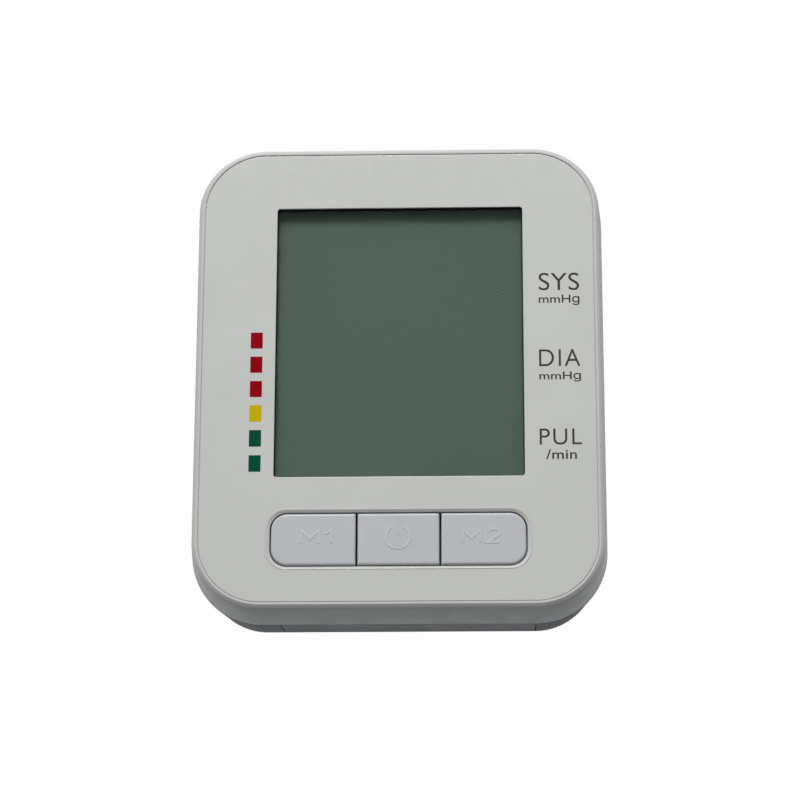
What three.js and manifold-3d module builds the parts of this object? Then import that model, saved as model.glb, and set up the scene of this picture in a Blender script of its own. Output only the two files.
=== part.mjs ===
// Digital blood pressure monitor, as an assembly of separate pieces.
// Millimetres. +Z is up and out of the face, +Y runs from the keys towards the display's far edge,
// +X is to the reader's right. The origin is on the table, under the middle of the case.
import * as THREE from 'three';
import { mergeVertices } from 'three/addons/utils/BufferGeometryUtils.js';
import Module from 'manifold-3d';

const wasm = await Module();
wasm.setup();

// Front panel
const panelWidth = 106.2;
const panelLength = 127.0;
const panelCorner = 16.6;
const panelThickness = 1.6;
const panelGap = 0.2;

// Case, from the rim outwards and down
const rimFlat = 0.6;
const rimRound = 1.0;
const upperDepth = 14.4;
const upperDraft = 4.4;
const lowerDepth = 22.1;
const lowerTaper = 8.2;
const bottomRound = 4.0;
const caseWall = 2.2;
const faceWall = 2.0;
const partingGap = 0.3;
const lipHeight = 1.6;
const lipWall = 1.2;

// Display window, glass and frame
const windowWidth = 67.2;
const windowLength = 77.1;
const windowCentreY = 9.3;
const windowCorner = 0.8;
const windowSink = 0.1;
const windowFlange = 0.9;
const windowReach = 2.8;
const displayWidth = 72.0;
const displayLength = 82.0;
const displayThickness = 2.6;
const frameWall = 1.6;
const frameLedge = 1.2;
const collarWall = 1.1;
const stripWidth = 2.4;
const stripLength = 62.0;
const stripInset = 4.2;

// Keys
const keyRowWidth = 67.7;
const keyRowLength = 14.2;
const keyRowCentreY = -46.5;
const keyRowCorner = 4.4;
const keySplit = 11.12;
const keySplitGap = 0.5;
const keyInnerCorner = 0.4;
const keyRound = 0.7;
const keyTightCorner = 0.1;
const keySink = 0.2;
const keyGap = 0.45;
const keyBevel = 1.0;
const keyFlange = 1.0;
const keyFlangeReach = 1.0;
const keyStem = 2.2;
const keyTravel = 0.5;
const switchSide = 6.0;
const switchHeight = 3.5;
const plungerRadius = 1.5;
const plungerHeight = 0.8;

// Main board and what it carries
const boardDrop = 7.2;
const boardThickness = 1.6;
const boardWidth = 85.0;
const boardFrontY = -57.0;
const boardBackY = 58.2;
const boardCorner = 2.0;
const chipSide = 12.0;
const chipHeight = 1.4;
const chipX = 10.0;
const chipY = 15.0;
const beeperRadius = 6.0;
const beeperHeight = 5.4;
const beeperX = 29.0;
const beeperY = 4.0;
const beeperHole = 1.0;

// Screws
const casePostX = 43.5;
const casePostY = 53.5;
const casePostRadius = 3.5;
const caseScrewRadius = 1.3;
const caseScrewHead = 2.5;
const caseScrewHeadHeight = 2.0;
const caseScrewBite = 7.5;
const caseScrewSeat = 8.0;
const postMeetDrop = 2.0;
const boardPostRadius = 2.3;
const boardPostFrontX = 38.8;
const boardPostFrontY = -40.0;
const boardPostBackX = 30.0;
const boardPostBackY = 55.3;
const boardScrewRadius = 1.0;
const boardScrewHead = 2.2;
const boardScrewHeadHeight = 1.4;
const boardScrewBite = 4.6;
const screwSlotWidth = 0.7;
const screwSlotDepth = 0.8;

// Feet
const footRadius = 5.0;
const footProud = 1.5;
const footPocket = 1.0;
const footX = 42.0;
const footY = 41.5;

// Cells and battery bay
const cellRadius = 7.1;
const cellLength = 50.5;
const cellPitch = 15.0;
const cellNubRadius = 2.7;
const cellNubHeight = 1.3;
const cellEdge = 0.7;
const cellCount = 4;
const bayInset = 5.3;
const bayCentreX = 2.35;
const bayWall = 1.2;
const bayRoof = 1.4;
const contactThickness = 0.4;
const contactWidth = 11.0;
const contactHeight = 11.0;
const contactTabWidth = 3.0;
const springHeight = 4.6;
const springWire = 0.8;
const springTurns = 3;
const springWideRadius = 4.4;
const springNarrowRadius = 2.4;

// Battery door
const doorWidth = 68.0;
const doorWall = 2.0;
const doorGap = 0.3;
const doorPlateWidth = 65.2;
const doorRailHeight = 1.0;
const doorRailReach = 1.3;
const doorRailStem = 1.2;
const doorGripCount = 5;
const doorGripPitch = 2.6;
const doorGripWidth = 1.2;
const doorGripLength = 22.0;
const doorGripDepth = 0.5;
const doorGripY = -50.0;

// Air circuit
const pumpRadius = 9.6;
const pumpY = 43.0;
const pumpMotorMinX = 10.3;
const pumpMotorMaxX = 38.0;
const pumpHeadMinX = -14.0;
const pumpHeadMaxX = 10.0;
const pumpBossRadius = 4.0;
const pumpBossLength = 1.5;
const sleeveWall = 1.0;
const sleeveWidth = 6.0;
const sleeveMotorX = 24.0;
const sleeveHeadX = -3.0;
const cradleWall = 2.0;
const cradleHeight = 6.0;
const nozzleRadius = 1.2;
const nozzleLength = 4.0;
const tubeRadius = 2.5;
const tubeBore = 1.5;
const tubeBendReach = 3.75;
const jointSide = 6.0;
const jointX = -28.0;
const jointY = 28.0;
const airZ = 12.0;
const valveLength = 17.0;
const valveWidth = 12.0;
const valveHeight = 12.0;
const valveMinX = 15.0;
const valveY = 11.0;
const sensorSide = 10.0;
const sensorHeight = 4.0;
const sensorX = -22.0;
const sensorY = 6.0;
const socketBore = 3.2;
const socketBoreDepth = 12.0;
const socketBody = 4.6;
const socketFlange = 5.8;
const socketFlangeWall = 1.0;
const socketSeatDepth = 0.9;
const socketWall = 2.4;
const nutRadius = 7.0;
const nutWidth = 2.6;
const nutSides = 6;

// Leads to the board
const leadRadius = 0.9;
const leadBend = 3.0;
const pumpLeadOffset = 6.5;
const leadRise = 4.0;

// Power socket
const jackY = 20.0;
const jackWidth = 9.0;
const jackHeight = 11.0;
const jackDepth = 13.0;
const jackNose = 4.0;
const jackBore = 2.9;
const jackBoreDepth = 10.0;
const jackPin = 0.9;
const jackSink = 0.4;
const jackPinRoot = 1.0;

// Clearances and drawing fineness
const slipGap = 0.3;
const pieceGap = 0.3;
const screwGap = 0.2;
const tightGap = 0.1;
const cutOver = 1.0;
const weldDistance = 1e-4;
const cornerSteps = 7;
const keyCornerSteps = 5;
const tightCornerSteps = 2;
const roundSteps = 3;
const roundSides = 16;
const smallSides = 12;
const tubeSides = 8;
const tubeSteps = 10;
const springStepsPerTurn = 8;

// Heights that follow from the sizes above
const bottomZ = footProud;
const partingZ = bottomZ + lowerDepth;
const faceZ = partingZ + upperDepth;
const panelSeatZ = faceZ - panelThickness;
const faceWallZ = panelSeatZ - faceWall;
const floorZ = bottomZ + caseWall;
const displayTopZ = faceWallZ - pieceGap;
const displayBottomZ = displayTopZ - displayThickness;
const boardTopZ = faceWallZ - boardDrop;
const boardBottomZ = boardTopZ - boardThickness;
const keyTopZ = faceZ - keySink;
const keyFlangeTopZ = faceWallZ - pieceGap;
const keyFlangeBottomZ = keyFlangeTopZ - keyFlange;
const switchTopZ = boardTopZ + switchHeight;
const plungerTopZ = switchTopZ + plungerHeight;
const postMeetZ = partingZ - postMeetDrop;
const ringLowZ = partingZ - 2 * lipHeight;
const cellZ = bottomZ + doorWall + pieceGap + cellRadius;
const bayRoofZ = cellZ + cellRadius + pieceGap;
const pumpZ = floorZ + sleeveWall + pumpRadius + pieceGap;
const valveAxisZ = floorZ + valveHeight / 2;

// Small helpers: closed geometries become solids, which join, cut and turn back into geometries
function solidOf(geometry) {
  const bare = geometry.clone();
  bare.deleteAttribute('normal');
  bare.deleteAttribute('uv');
  const merged = mergeVertices(bare, weldDistance);
  const vertProperties = Float32Array.from(merged.attributes.position.array);
  const triVerts = Uint32Array.from(merged.index.array);
  return new wasm.Manifold(new wasm.Mesh({ numProp: 3, vertProperties, triVerts }));
}

function geometryOf(solid) {
  const mesh = solid.getMesh();
  const geometry = new THREE.BufferGeometry();
  geometry.setAttribute('position', new THREE.BufferAttribute(mesh.vertProperties, 3));
  geometry.setIndex(new THREE.BufferAttribute(mesh.triVerts, 1));
  geometry.computeVertexNormals();
  return geometry;
}

function join(...solids) {
  return solids.reduce((whole, solid) => whole.add(solid));
}

function cut(solid, ...tools) {
  return tools.reduce((rest, tool) => rest.subtract(tool), solid);
}

// A box given by its lowest and highest corner
function block(low, high) {
  const size = high.map((value, axis) => value - low[axis]);
  const geometry = new THREE.BoxGeometry(...size);
  geometry.translate(...high.map((value, axis) => (value + low[axis]) / 2));
  return solidOf(geometry);
}

// An upright round rod
function post(radius, x, y, lowZ, highZ, sides = roundSides) {
  const geometry = new THREE.CylinderGeometry(radius, radius, highZ - lowZ, sides);
  geometry.rotateX(Math.PI / 2);
  geometry.translate(x, y, (lowZ + highZ) / 2);
  return solidOf(geometry);
}

// A round rod lying along X
function bar(radius, lowX, highX, y, z, sides = roundSides) {
  const geometry = new THREE.CylinderGeometry(radius, radius, highX - lowX, sides);
  geometry.rotateZ(-Math.PI / 2);
  geometry.translate((lowX + highX) / 2, y, z);
  return solidOf(geometry);
}

// A round rod lying along Y
function barY(radius, x, lowY, highY, z, sides = roundSides) {
  const geometry = new THREE.CylinderGeometry(radius, radius, highY - lowY, sides);
  geometry.translate(x, (lowY + highY) / 2, z);
  return solidOf(geometry);
}

// One closed ring of points: a rectangle whose four corners are rounded one by one
function ringPoints(level) {
  const { x = 0, y = 0, z, halfX, halfY, corners, steps = evenCorners(cornerSteps) } = level;
  const signs = [[1, 1], [-1, 1], [-1, -1], [1, -1]];
  return signs.flatMap(([signX, signY], corner) => {
    const radius = corners[corner];
    const centreX = x + signX * (halfX - radius);
    const centreY = y + signY * (halfY - radius);
    return Array.from({ length: steps[corner] + 1 }, (_, step) => {
      const angle = (corner + step / steps[corner]) * Math.PI / 2;
      return [centreX + radius * Math.cos(angle), centreY + radius * Math.sin(angle), z];
    });
  });
}

// A closed solid through a stack of rings, lowest first
function loft(levels) {
  const rings = levels.map(ringPoints);
  const count = rings[0].length;
  const points = rings.flat();
  const top = rings.length - 1;
  const faces = [];
  for (let ring = 0; ring < top; ring += 1) {
    for (let step = 0; step < count; step += 1) {
      const low = ring * count + step;
      const lowNext = ring * count + (step + 1) % count;
      faces.push(low, lowNext, lowNext + count, low, lowNext + count, low + count);
    }
  }
  for (let step = 1; step < count - 1; step += 1) {
    faces.push(0, step + 1, step);
    faces.push(top * count, top * count + step, top * count + step + 1);
  }
  const geometry = new THREE.BufferGeometry();
  geometry.setAttribute('position', new THREE.Float32BufferAttribute(points.flat(), 3));
  geometry.setIndex(faces);
  return solidOf(geometry);
}

function evenCorners(value) {
  return [value, value, value, value];
}

// A straight-sided plate with rounded corners
function plate(width, length, corner, lowZ, highZ, y = 0, fineness = tightCornerSteps) {
  const corners = evenCorners(corner);
  const steps = evenCorners(fineness);
  const level = { y, halfX: width / 2, halfY: length / 2, corners, steps };
  return loft([{ ...level, z: lowZ }, { ...level, z: highZ }]);
}

// The case outline at a height: the panel's outline grown by an offset
function caseLevel(offset, z) {
  return {
    z,
    halfX: panelWidth / 2 + offset,
    halfY: panelLength / 2 + offset,
    corners: evenCorners(panelCorner + offset),
  };
}

const slope = (degrees) => Math.tan(THREE.MathUtils.degToRad(degrees));

// How far the upper half stands outside the panel's outline at a height
const rimOffset = panelGap + rimFlat;
const upperOffset = (z) => rimOffset + rimRound + (faceZ - rimRound - z) * slope(upperDraft);

// The same for the lower half, which narrows towards the table and ends in a round
const lowerOffset = (z) => upperOffset(partingZ) - (partingZ - z) * slope(lowerTaper);

function quarterSteps() {
  return Array.from({ length: roundSteps + 1 }, (_, step) => step / roundSteps * Math.PI / 2);
}

function upperOuter() {
  const edge = quarterSteps().map((angle) => caseLevel(
    upperOffset(faceZ - rimRound) - rimRound * (1 - Math.cos(angle)),
    faceZ - rimRound * (1 - Math.sin(angle)),
  ));
  return loft([caseLevel(upperOffset(partingZ), partingZ), ...edge]);
}

function lowerOuter(inset, lowZ, highZ) {
  const round = bottomRound - inset;
  const edge = quarterSteps().map((angle) => caseLevel(
    lowerOffset(lowZ + round) - inset - round * (1 - Math.sin(angle)),
    lowZ + round * (1 - Math.cos(angle)),
  ));
  return loft([...edge, caseLevel(lowerOffset(highZ) - inset, highZ)]);
}

function atPosts(make) {
  return [-1, 1].flatMap((signX) => [-1, 1].map((signY) => make(signX, signY)));
}

const boardPostPlaces = [
  [-boardPostFrontX, boardPostFrontY],
  [boardPostFrontX, boardPostFrontY],
  [-boardPostBackX, boardPostBackY],
  [boardPostBackX, boardPostBackY],
];

// Openings that the panel and the case share
const displayHole = {
  width: windowWidth + 2 * (slipGap + collarWall + slipGap),
  length: windowLength + 2 * (slipGap + collarWall + slipGap),
};
const keyHole = {
  width: keyRowWidth + 2 * keyGap,
  length: keyRowLength + 2 * keyGap,
  corner: keyRowCorner + keyGap,
};

// Upper half of the case
function upperShell() {
  const inset = -caseWall;
  const cavity = loft([
    caseLevel(upperOffset(partingZ - cutOver) + inset, partingZ - cutOver),
    caseLevel(upperOffset(faceWallZ) + inset, faceWallZ),
  ]);
  const recess = plate(
    panelWidth + 2 * panelGap,
    panelLength + 2 * panelGap,
    panelCorner + panelGap,
    panelSeatZ,
    faceZ + cutOver,
    0,
    cornerSteps,
  );
  const displayOpening = plate(
    displayHole.width,
    displayHole.length,
    windowCorner + collarWall,
    faceWallZ - cutOver,
    panelSeatZ + cutOver,
    windowCentreY,
  );
  const keyOpening = plate(
    keyHole.width,
    keyHole.length,
    keyHole.corner,
    faceWallZ - cutOver,
    panelSeatZ + cutOver,
    keyRowCentreY,
    keyCornerSteps,
  );
  const body = cut(upperOuter(), cavity, recess, displayOpening, keyOpening);
  const seatZ = faceWallZ + faceWall / 2;
  const casePosts = atPosts((signX, signY) => (
    post(casePostRadius, signX * casePostX, signY * casePostY, postMeetZ, seatZ, smallSides)
  ));
  const caseHoles = atPosts((signX, signY) => post(
    caseScrewRadius + screwGap,
    signX * casePostX,
    signY * casePostY,
    postMeetZ - cutOver,
    postMeetZ + caseScrewBite + pieceGap,
    smallSides,
  ));
  const boardPosts = boardPostPlaces.map(([x, y]) => (
    post(boardPostRadius, x, y, boardTopZ, seatZ, smallSides)
  ));
  const boardHoles = boardPostPlaces.map(([x, y]) => post(
    boardScrewRadius + screwGap,
    x,
    y,
    boardTopZ - cutOver,
    boardTopZ + boardScrewBite + pieceGap,
    smallSides,
  ));
  return cut(join(body, ...casePosts, ...boardPosts), ...caseHoles, ...boardHoles);
}

// Front panel: window opening with a rebate behind it, and a bevelled opening for the keys
function facePanel() {
  const blank = plate(panelWidth, panelLength, panelCorner, panelSeatZ, faceZ, 0, cornerSteps);
  const opening = plate(
    windowWidth,
    windowLength,
    windowCorner,
    panelSeatZ - cutOver,
    faceZ + cutOver,
    windowCentreY,
  );
  const rebate = plate(
    windowWidth + 2 * (windowReach + slipGap),
    windowLength + 2 * (windowReach + slipGap),
    windowCorner + slipGap,
    panelSeatZ - cutOver,
    panelSeatZ + windowFlange + windowSink,
    windowCentreY,
  );
  const keyLevel = (grow, z) => ({
    y: keyRowCentreY,
    z,
    halfX: keyHole.width / 2 + grow,
    halfY: keyHole.length / 2 + grow,
    corners: evenCorners(keyHole.corner + grow),
    steps: evenCorners(keyCornerSteps),
  });
  const keyOpening = loft([
    keyLevel(0, panelSeatZ - cutOver),
    keyLevel(0, faceZ - keyBevel),
    keyLevel(keyBevel, faceZ),
    keyLevel(keyBevel, faceZ + cutOver),
  ]);
  return cut(blank, opening, rebate, keyOpening);
}

// Clear window: a flange behind the panel and a raised middle that fills the opening
function displayWindow() {
  const flange = plate(
    windowWidth + 2 * windowReach,
    windowLength + 2 * windowReach,
    windowCorner,
    panelSeatZ,
    panelSeatZ + windowFlange,
    windowCentreY,
  );
  const middle = plate(
    windowWidth - 2 * windowSink,
    windowLength - 2 * windowSink,
    windowCorner,
    panelSeatZ,
    faceZ - windowSink,
    windowCentreY,
  );
  return join(flange, middle);
}

// Display glass
function displayGlass() {
  return plate(
    displayWidth,
    displayLength,
    windowCorner,
    displayBottomZ,
    displayTopZ,
    windowCentreY,
  );
}

// Dark frame: walls round the glass, a ledge under it and a collar up to the window
function displayFrame() {
  const innerWidth = displayWidth + 2 * slipGap;
  const innerLength = displayLength + 2 * slipGap;
  const outerWidth = innerWidth + 2 * frameWall;
  const outerLength = innerLength + 2 * frameWall;
  const walls = plate(
    outerWidth,
    outerLength,
    windowCorner,
    boardTopZ,
    faceWallZ,
    windowCentreY,
  );
  const collar = plate(
    windowWidth + 2 * (slipGap + collarWall),
    windowLength + 2 * (slipGap + collarWall),
    windowCorner + collarWall,
    faceWallZ - cutOver / 2,
    panelSeatZ - pieceGap,
    windowCentreY,
  );
  const view = plate(
    windowWidth + 2 * slipGap,
    windowLength + 2 * slipGap,
    windowCorner,
    boardTopZ - cutOver,
    faceZ,
    windowCentreY,
  );
  const pocket = plate(
    innerWidth,
    innerLength,
    windowCorner,
    displayBottomZ,
    displayTopZ + tightGap,
    windowCentreY,
  );
  const under = plate(
    innerWidth - 2 * frameLedge,
    innerLength - 2 * frameLedge,
    windowCorner,
    boardTopZ - cutOver,
    displayBottomZ + pieceGap,
    windowCentreY,
  );
  return cut(join(walls, collar), view, pocket, under);
}

// Rubber contact strip between the display glass and the board
function contactStrip() {
  const y = windowCentreY - displayLength / 2 + stripInset;
  return block(
    [-stripLength / 2, y - stripWidth / 2, boardTopZ],
    [stripLength / 2, y + stripWidth / 2, displayBottomZ],
  );
}

// Key caps. Each spans from one side of the row's split lines to the other
const keyEdge = keyRowWidth / 2;
const keyInnerEdge = keySplit - keySplitGap / 2;
const keyOuterEdge = keySplit + keySplitGap / 2;
const keys = [
  { name: 'memory_1', lowX: -keyEdge, highX: -keyOuterEdge, leftEnd: true, rightEnd: false },
  { name: 'start_stop', lowX: -keyInnerEdge, highX: keyInnerEdge, leftEnd: false, rightEnd: false },
  { name: 'memory_2', lowX: keyOuterEdge, highX: keyEdge, leftEnd: false, rightEnd: true },
];

function keyCentreX(key) {
  return (key.lowX + key.highX) / 2;
}

function keyCap(key) {
  const leftCorner = key.leftEnd ? keyRowCorner : keyInnerCorner;
  const rightCorner = key.rightEnd ? keyRowCorner : keyInnerCorner;
  const corners = [rightCorner, leftCorner, leftCorner, rightCorner];
  const steps = corners.map((radius) => (
    radius === keyRowCorner ? keyCornerSteps : tightCornerSteps
  ));
  const halfX = (key.highX - key.lowX) / 2;
  const x = keyCentreX(key);
  const capLevel = (inset, z) => ({
    x,
    y: keyRowCentreY,
    z,
    halfX: halfX - inset,
    halfY: keyRowLength / 2 - inset,
    corners: corners.map((radius) => Math.max(radius - inset, keyTightCorner)),
    steps,
  });
  const edge = quarterSteps().map((angle) => capLevel(
    keyRound * (1 - Math.cos(angle)),
    keyTopZ - keyRound * (1 - Math.sin(angle)),
  ));
  const cap = loft([capLevel(0, keyFlangeBottomZ), ...edge]);
  const flange = block(
    [
      key.lowX - (key.leftEnd ? keyFlangeReach : 0),
      keyRowCentreY - keyRowLength / 2 - keyFlangeReach,
      keyFlangeBottomZ,
    ],
    [
      key.highX + (key.rightEnd ? keyFlangeReach : 0),
      keyRowCentreY + keyRowLength / 2 + keyFlangeReach,
      keyFlangeTopZ,
    ],
  );
  const stem = post(keyStem, x, keyRowCentreY, plungerTopZ, keyFlangeTopZ, smallSides);
  return join(cap, flange, stem);
}

// Switch body with a well for its plunger, drawn about its own middle on the board
function switchBody() {
  const half = switchSide / 2;
  const wellZ = switchHeight - plungerWell();
  const body = block([-half, -half, 0], [half, half, switchHeight]);
  const well = post(plungerRadius + slipGap, 0, 0, wellZ, switchHeight + cutOver, smallSides);
  return cut(body, well);
}

// The well holds the plunger's lower part, its travel and a little more
function plungerWell() {
  return plungerHeight + keyTravel + pieceGap;
}

function switchPlunger() {
  return post(plungerRadius, 0, 0, -plungerHeight, plungerHeight, smallSides);
}

// Main board, notched round the case posts and drilled at its own screws
function mainBoard() {
  const blank = loft([boardBottomZ, boardTopZ].map((z) => ({
    z,
    y: (boardFrontY + boardBackY) / 2,
    halfX: boardWidth / 2,
    halfY: (boardBackY - boardFrontY) / 2,
    corners: evenCorners(boardCorner),
    steps: evenCorners(tightCornerSteps),
  })));
  const notches = atPosts((signX, signY) => post(
    casePostRadius + slipGap,
    signX * casePostX,
    signY * casePostY,
    boardBottomZ - cutOver,
    boardTopZ + cutOver,
    smallSides,
  ));
  const holes = boardPostPlaces.map(([x, y]) => post(
    boardScrewRadius + screwGap,
    x,
    y,
    boardBottomZ - cutOver,
    boardTopZ + cutOver,
    smallSides,
  ));
  return cut(blank, ...notches, ...holes);
}

function controllerChip() {
  return block([-chipSide / 2, -chipSide / 2, -chipHeight], [chipSide / 2, chipSide / 2, 0]);
}

function beeper() {
  const can = post(beeperRadius, 0, 0, -beeperHeight, 0);
  const hole = post(beeperHole, 0, 0, -beeperHeight - cutOver, -beeperHeight / 2, smallSides);
  return cut(can, hole);
}

// A round-headed screw pointing up, its head's underside at zero
function screw(radius, reach, headRadius, headHeight) {
  const head = post(headRadius, 0, 0, -headHeight, 0, smallSides);
  const shank = post(radius, 0, 0, -headHeight / 2, reach, tubeSides);
  const arm = (halfX, halfY) => block(
    [-halfX, -halfY, -headHeight - cutOver],
    [halfX, halfY, screwSlotDepth - headHeight],
  );
  const reachOut = headRadius / 2;
  const halfSlot = screwSlotWidth / 2;
  return cut(join(head, shank), arm(reachOut, halfSlot), arm(halfSlot, reachOut));
}

// Battery bay, measured from the case wall and the battery door's lip inwards
const bayHalfWidth = (cellCount - 1) * cellPitch / 2 + cellRadius + slipGap;
const bayFrontY = -(panelLength / 2 + lowerOffset(bottomZ + bottomRound) - bayInset);
const bayLength = 2 * contactThickness + cellLength + springHeight + 2 * pieceGap;
const bayBackY = bayFrontY + bayLength;
const doorBackY = bayBackY - doorGap;
const lipBackY = bayFrontY - bayWall - doorGap;
const caseFrontY = -(panelLength / 2 + upperOffset(partingZ));

// Cells are numbered from the left
function cellX(index) {
  return bayCentreX + (index - (cellCount - 1) / 2) * cellPitch;
}

// The bay and its door are drawn about X = 0 and then moved to the bay's centre line
function inBay(solid) {
  return solid.translate([bayCentreX, 0, 0]);
}

// Contacts at the bay's two ends join the cells in a row, flat end to raised end
const contacts = [
  { name: 'contact_front_left', first: 0, last: 1, springs: [0], front: true },
  { name: 'contact_front_right', first: 2, last: 3, springs: [2], front: true },
  { name: 'contact_back_left', first: 0, last: 0, springs: [], soldered: true },
  { name: 'contact_back_middle', first: 1, last: 2, springs: [1] },
  { name: 'contact_back_right', first: 3, last: 3, springs: [3], soldered: true },
];

// How far forward the inside of the door's lip stands at a height
const lipInnerY = (z) => -(panelLength / 2 + lowerOffset(z) - doorWall);

// Where the sockets pass through the side walls
const sideWallX = panelWidth / 2 + lowerOffset(airZ);
const socketSeatX = -(sideWallX - socketSeatDepth);
const jackFaceX = sideWallX - jackSink;
const jackBackX = sideWallX - caseWall - pieceGap - jackHeight / 2 * slope(lowerTaper);
const nutSeatX = socketSeatX + socketWall;

// Ring that stands up inside the upper half and lines the two halves up
function partingLip() {
  const outer = upperOffset(partingZ) - caseWall;
  const highZ = partingZ + lipHeight;
  const ring = (offset, fromZ, toZ) => loft([caseLevel(offset, fromZ), caseLevel(offset, toZ)]);
  return cut(
    join(
      ring(outer + slipGap, ringLowZ, partingZ - partingGap),
      ring(outer - slipGap, ringLowZ + lipHeight, highZ),
    ),
    ring(outer - slipGap - lipWall, ringLowZ - cutOver, highZ + cutOver),
  );
}

// Half-round rests under the pump's two rubber sleeves
function pumpCradle(x) {
  const half = pumpRadius + sleeveWall + cradleWall;
  const wall = block(
    [x - cradleWall / 2, pumpY - half, floorZ - cutOver],
    [x + cradleWall / 2, pumpY + half, floorZ + cradleHeight],
  );
  const hollow = bar(
    pumpRadius + sleeveWall + pieceGap,
    x - cradleWall,
    x + cradleWall,
    pumpY,
    pumpZ,
  );
  return cut(wall, hollow);
}

// Lower half of the case
function lowerShell() {
  const outer = lowerOuter(0, bottomZ, partingZ - partingGap);
  const shell = cut(outer, lowerOuter(caseWall, floorZ, partingZ + cutOver));
  const posts = atPosts((signX, signY) => post(
    casePostRadius + pieceGap,
    signX * casePostX,
    signY * casePostY,
    bottomZ + caseWall / 2,
    postMeetZ,
    smallSides,
  ));
  const bay = block(
    [-bayHalfWidth - bayWall, -panelLength / 2, floorZ - cutOver],
    [bayHalfWidth + bayWall, bayBackY + bayWall, bayRoofZ + bayRoof],
  );
  const jackRest = block(
    [jackBackX - jackDepth, jackY - jackWidth / 2, floorZ - cutOver],
    [jackBackX, jackY + jackWidth / 2, airZ - jackHeight / 2],
  );
  const jointRest = block(
    [jointX - jointSide / 2, jointY - jointSide / 2, floorZ - cutOver],
    [jointX + jointSide / 2, jointY + jointSide / 2, airZ - jointSide / 2],
  );
  const nutPad = bar(nutRadius + slipGap, socketSeatX, nutSeatX, jointY, airZ).intersect(outer);
  const body = join(
    shell,
    nutPad,
    partingLip(),
    ...posts,
    inBay(bay),
    jackRest,
    jointRest,
    pumpCradle(sleeveMotorX),
    pumpCradle(sleeveHeadX),
  );
  const bayHollow = block(
    [-bayHalfWidth, bayFrontY, 0],
    [bayHalfWidth, bayBackY, bayRoofZ],
  );
  const plateOpening = block(
    [-doorPlateWidth / 2 - doorGap, caseFrontY - cutOver, 0],
    [doorPlateWidth / 2 + doorGap, bayBackY, floorZ],
  );
  return cut(
    body,
    inBay(bayHollow),
    inBay(plateOpening),
    inBay(lipOpening()),
    ...atPosts(screwWell),
    ...atPosts(footWell),
    ...contacts.filter((contact) => contact.soldered).map(tabSlot),
    socketHole(),
    jackHole(),
  );
}

// Slot in the bay's roof for a contact's solder tab
function tabSlot(contact) {
  const half = contactTabWidth / 2 + slipGap;
  const x = cellX(contact.first);
  return block(
    [x - half, bayBackY - contactThickness - slipGap, bayRoofZ - cutOver],
    [x + half, bayBackY + slipGap, bayRoofZ + bayRoof + cutOver],
  );
}

// Room for the door's lip: back to the bay's front wall, but only to the ring higher up
function lipOpening() {
  const strip = (backY, highZ) => block(
    [-doorWidth / 2 - doorGap, caseFrontY - cutOver, 0],
    [doorWidth / 2 + doorGap, backY, highZ],
  );
  return join(
    strip(bayFrontY - bayWall, ringLowZ - pieceGap),
    strip(lipInnerY(ringLowZ) + doorGap, partingZ + cutOver),
  );
}

// Deep round well for a case screw's head, and the hole above it
function screwWell(signX, signY) {
  const x = signX * casePostX;
  const y = signY * casePostY;
  return join(
    post(caseScrewHead + slipGap, x, y, 0, bottomZ + caseScrewSeat, smallSides),
    post(caseScrewRadius + screwGap, x, y, bottomZ, postMeetZ + cutOver, smallSides),
  );
}

function footWell(signX, signY) {
  return post(footRadius + slipGap / 2, signX * footX, signY * footY, 0, bottomZ + footPocket);
}

function socketHole() {
  return join(
    bar(socketBody + slipGap, -sideWallX - caseWall, nutSeatX + cutOver, jointY, airZ),
    bar(socketFlange + slipGap, -sideWallX - caseWall, socketSeatX, jointY, airZ),
  );
}

function jackHole() {
  return bar(jackNose + slipGap, jackBackX - cutOver, sideWallX + caseWall, jackY, airZ, smallSides);
}

// Battery door: floor plate, front lip, two side rails and grip ridges
function batteryDoor() {
  const outer = lowerOuter(0, bottomZ, partingZ - partingGap);
  const inner = lowerOuter(doorWall, bottomZ + doorWall, partingZ + cutOver);
  const skin = cut(outer, inner);
  const lip = skin.intersect(inBay(block(
    [-doorWidth / 2, caseFrontY - cutOver, 0],
    [doorWidth / 2, lipBackY, partingZ],
  )));
  const floorPlate = skin.intersect(inBay(block(
    [-doorPlateWidth / 2, lipBackY - doorGap, 0],
    [doorPlateWidth / 2, doorBackY, bottomZ + doorWall],
  )));
  const rails = [-1, 1].map((sign) => doorRail(sign, lipBackY + doorWall));
  const grips = Array.from({ length: doorGripCount }, (_, index) => {
    const y = doorGripY + index * doorGripPitch;
    return block(
      [-doorGripLength / 2, y - doorGripWidth / 2, 0],
      [doorGripLength / 2, y + doorGripWidth / 2, bottomZ + doorGripDepth],
    );
  });
  return cut(join(lip, floorPlate, ...rails.map(inBay)), ...grips.map(inBay));
}

// A rail stands on the door's edge and reaches over the case floor beside it
function doorRail(sign, frontY) {
  const edge = doorPlateWidth / 2;
  const span = (near, far, lowZ, highZ) => block(
    [Math.min(sign * near, sign * far), frontY, lowZ],
    [Math.max(sign * near, sign * far), doorBackY, highZ],
  );
  const railZ = floorZ + pieceGap;
  return join(
    span(edge - doorRailStem, edge, bottomZ + doorWall / 2, railZ + doorRailHeight),
    span(edge - doorRailStem, edge + doorRailReach, railZ, railZ + doorRailHeight),
  );
}

// AA cell standing on its flat end, the raised end up
function cell() {
  const half = cellLength / 2;
  const shoulder = half - cellNubHeight;
  const profile = [
    [0, -half],
    [cellRadius - cellEdge, -half],
    [cellRadius, cellEdge - half],
    [cellRadius, shoulder - cellEdge],
    [cellRadius - cellEdge, shoulder],
    [cellNubRadius, shoulder],
    [cellNubRadius, half],
    [0, half],
  ].map(([x, y]) => new THREE.Vector2(x, y));
  return new THREE.LatheGeometry(profile, roundSides);
}

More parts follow.
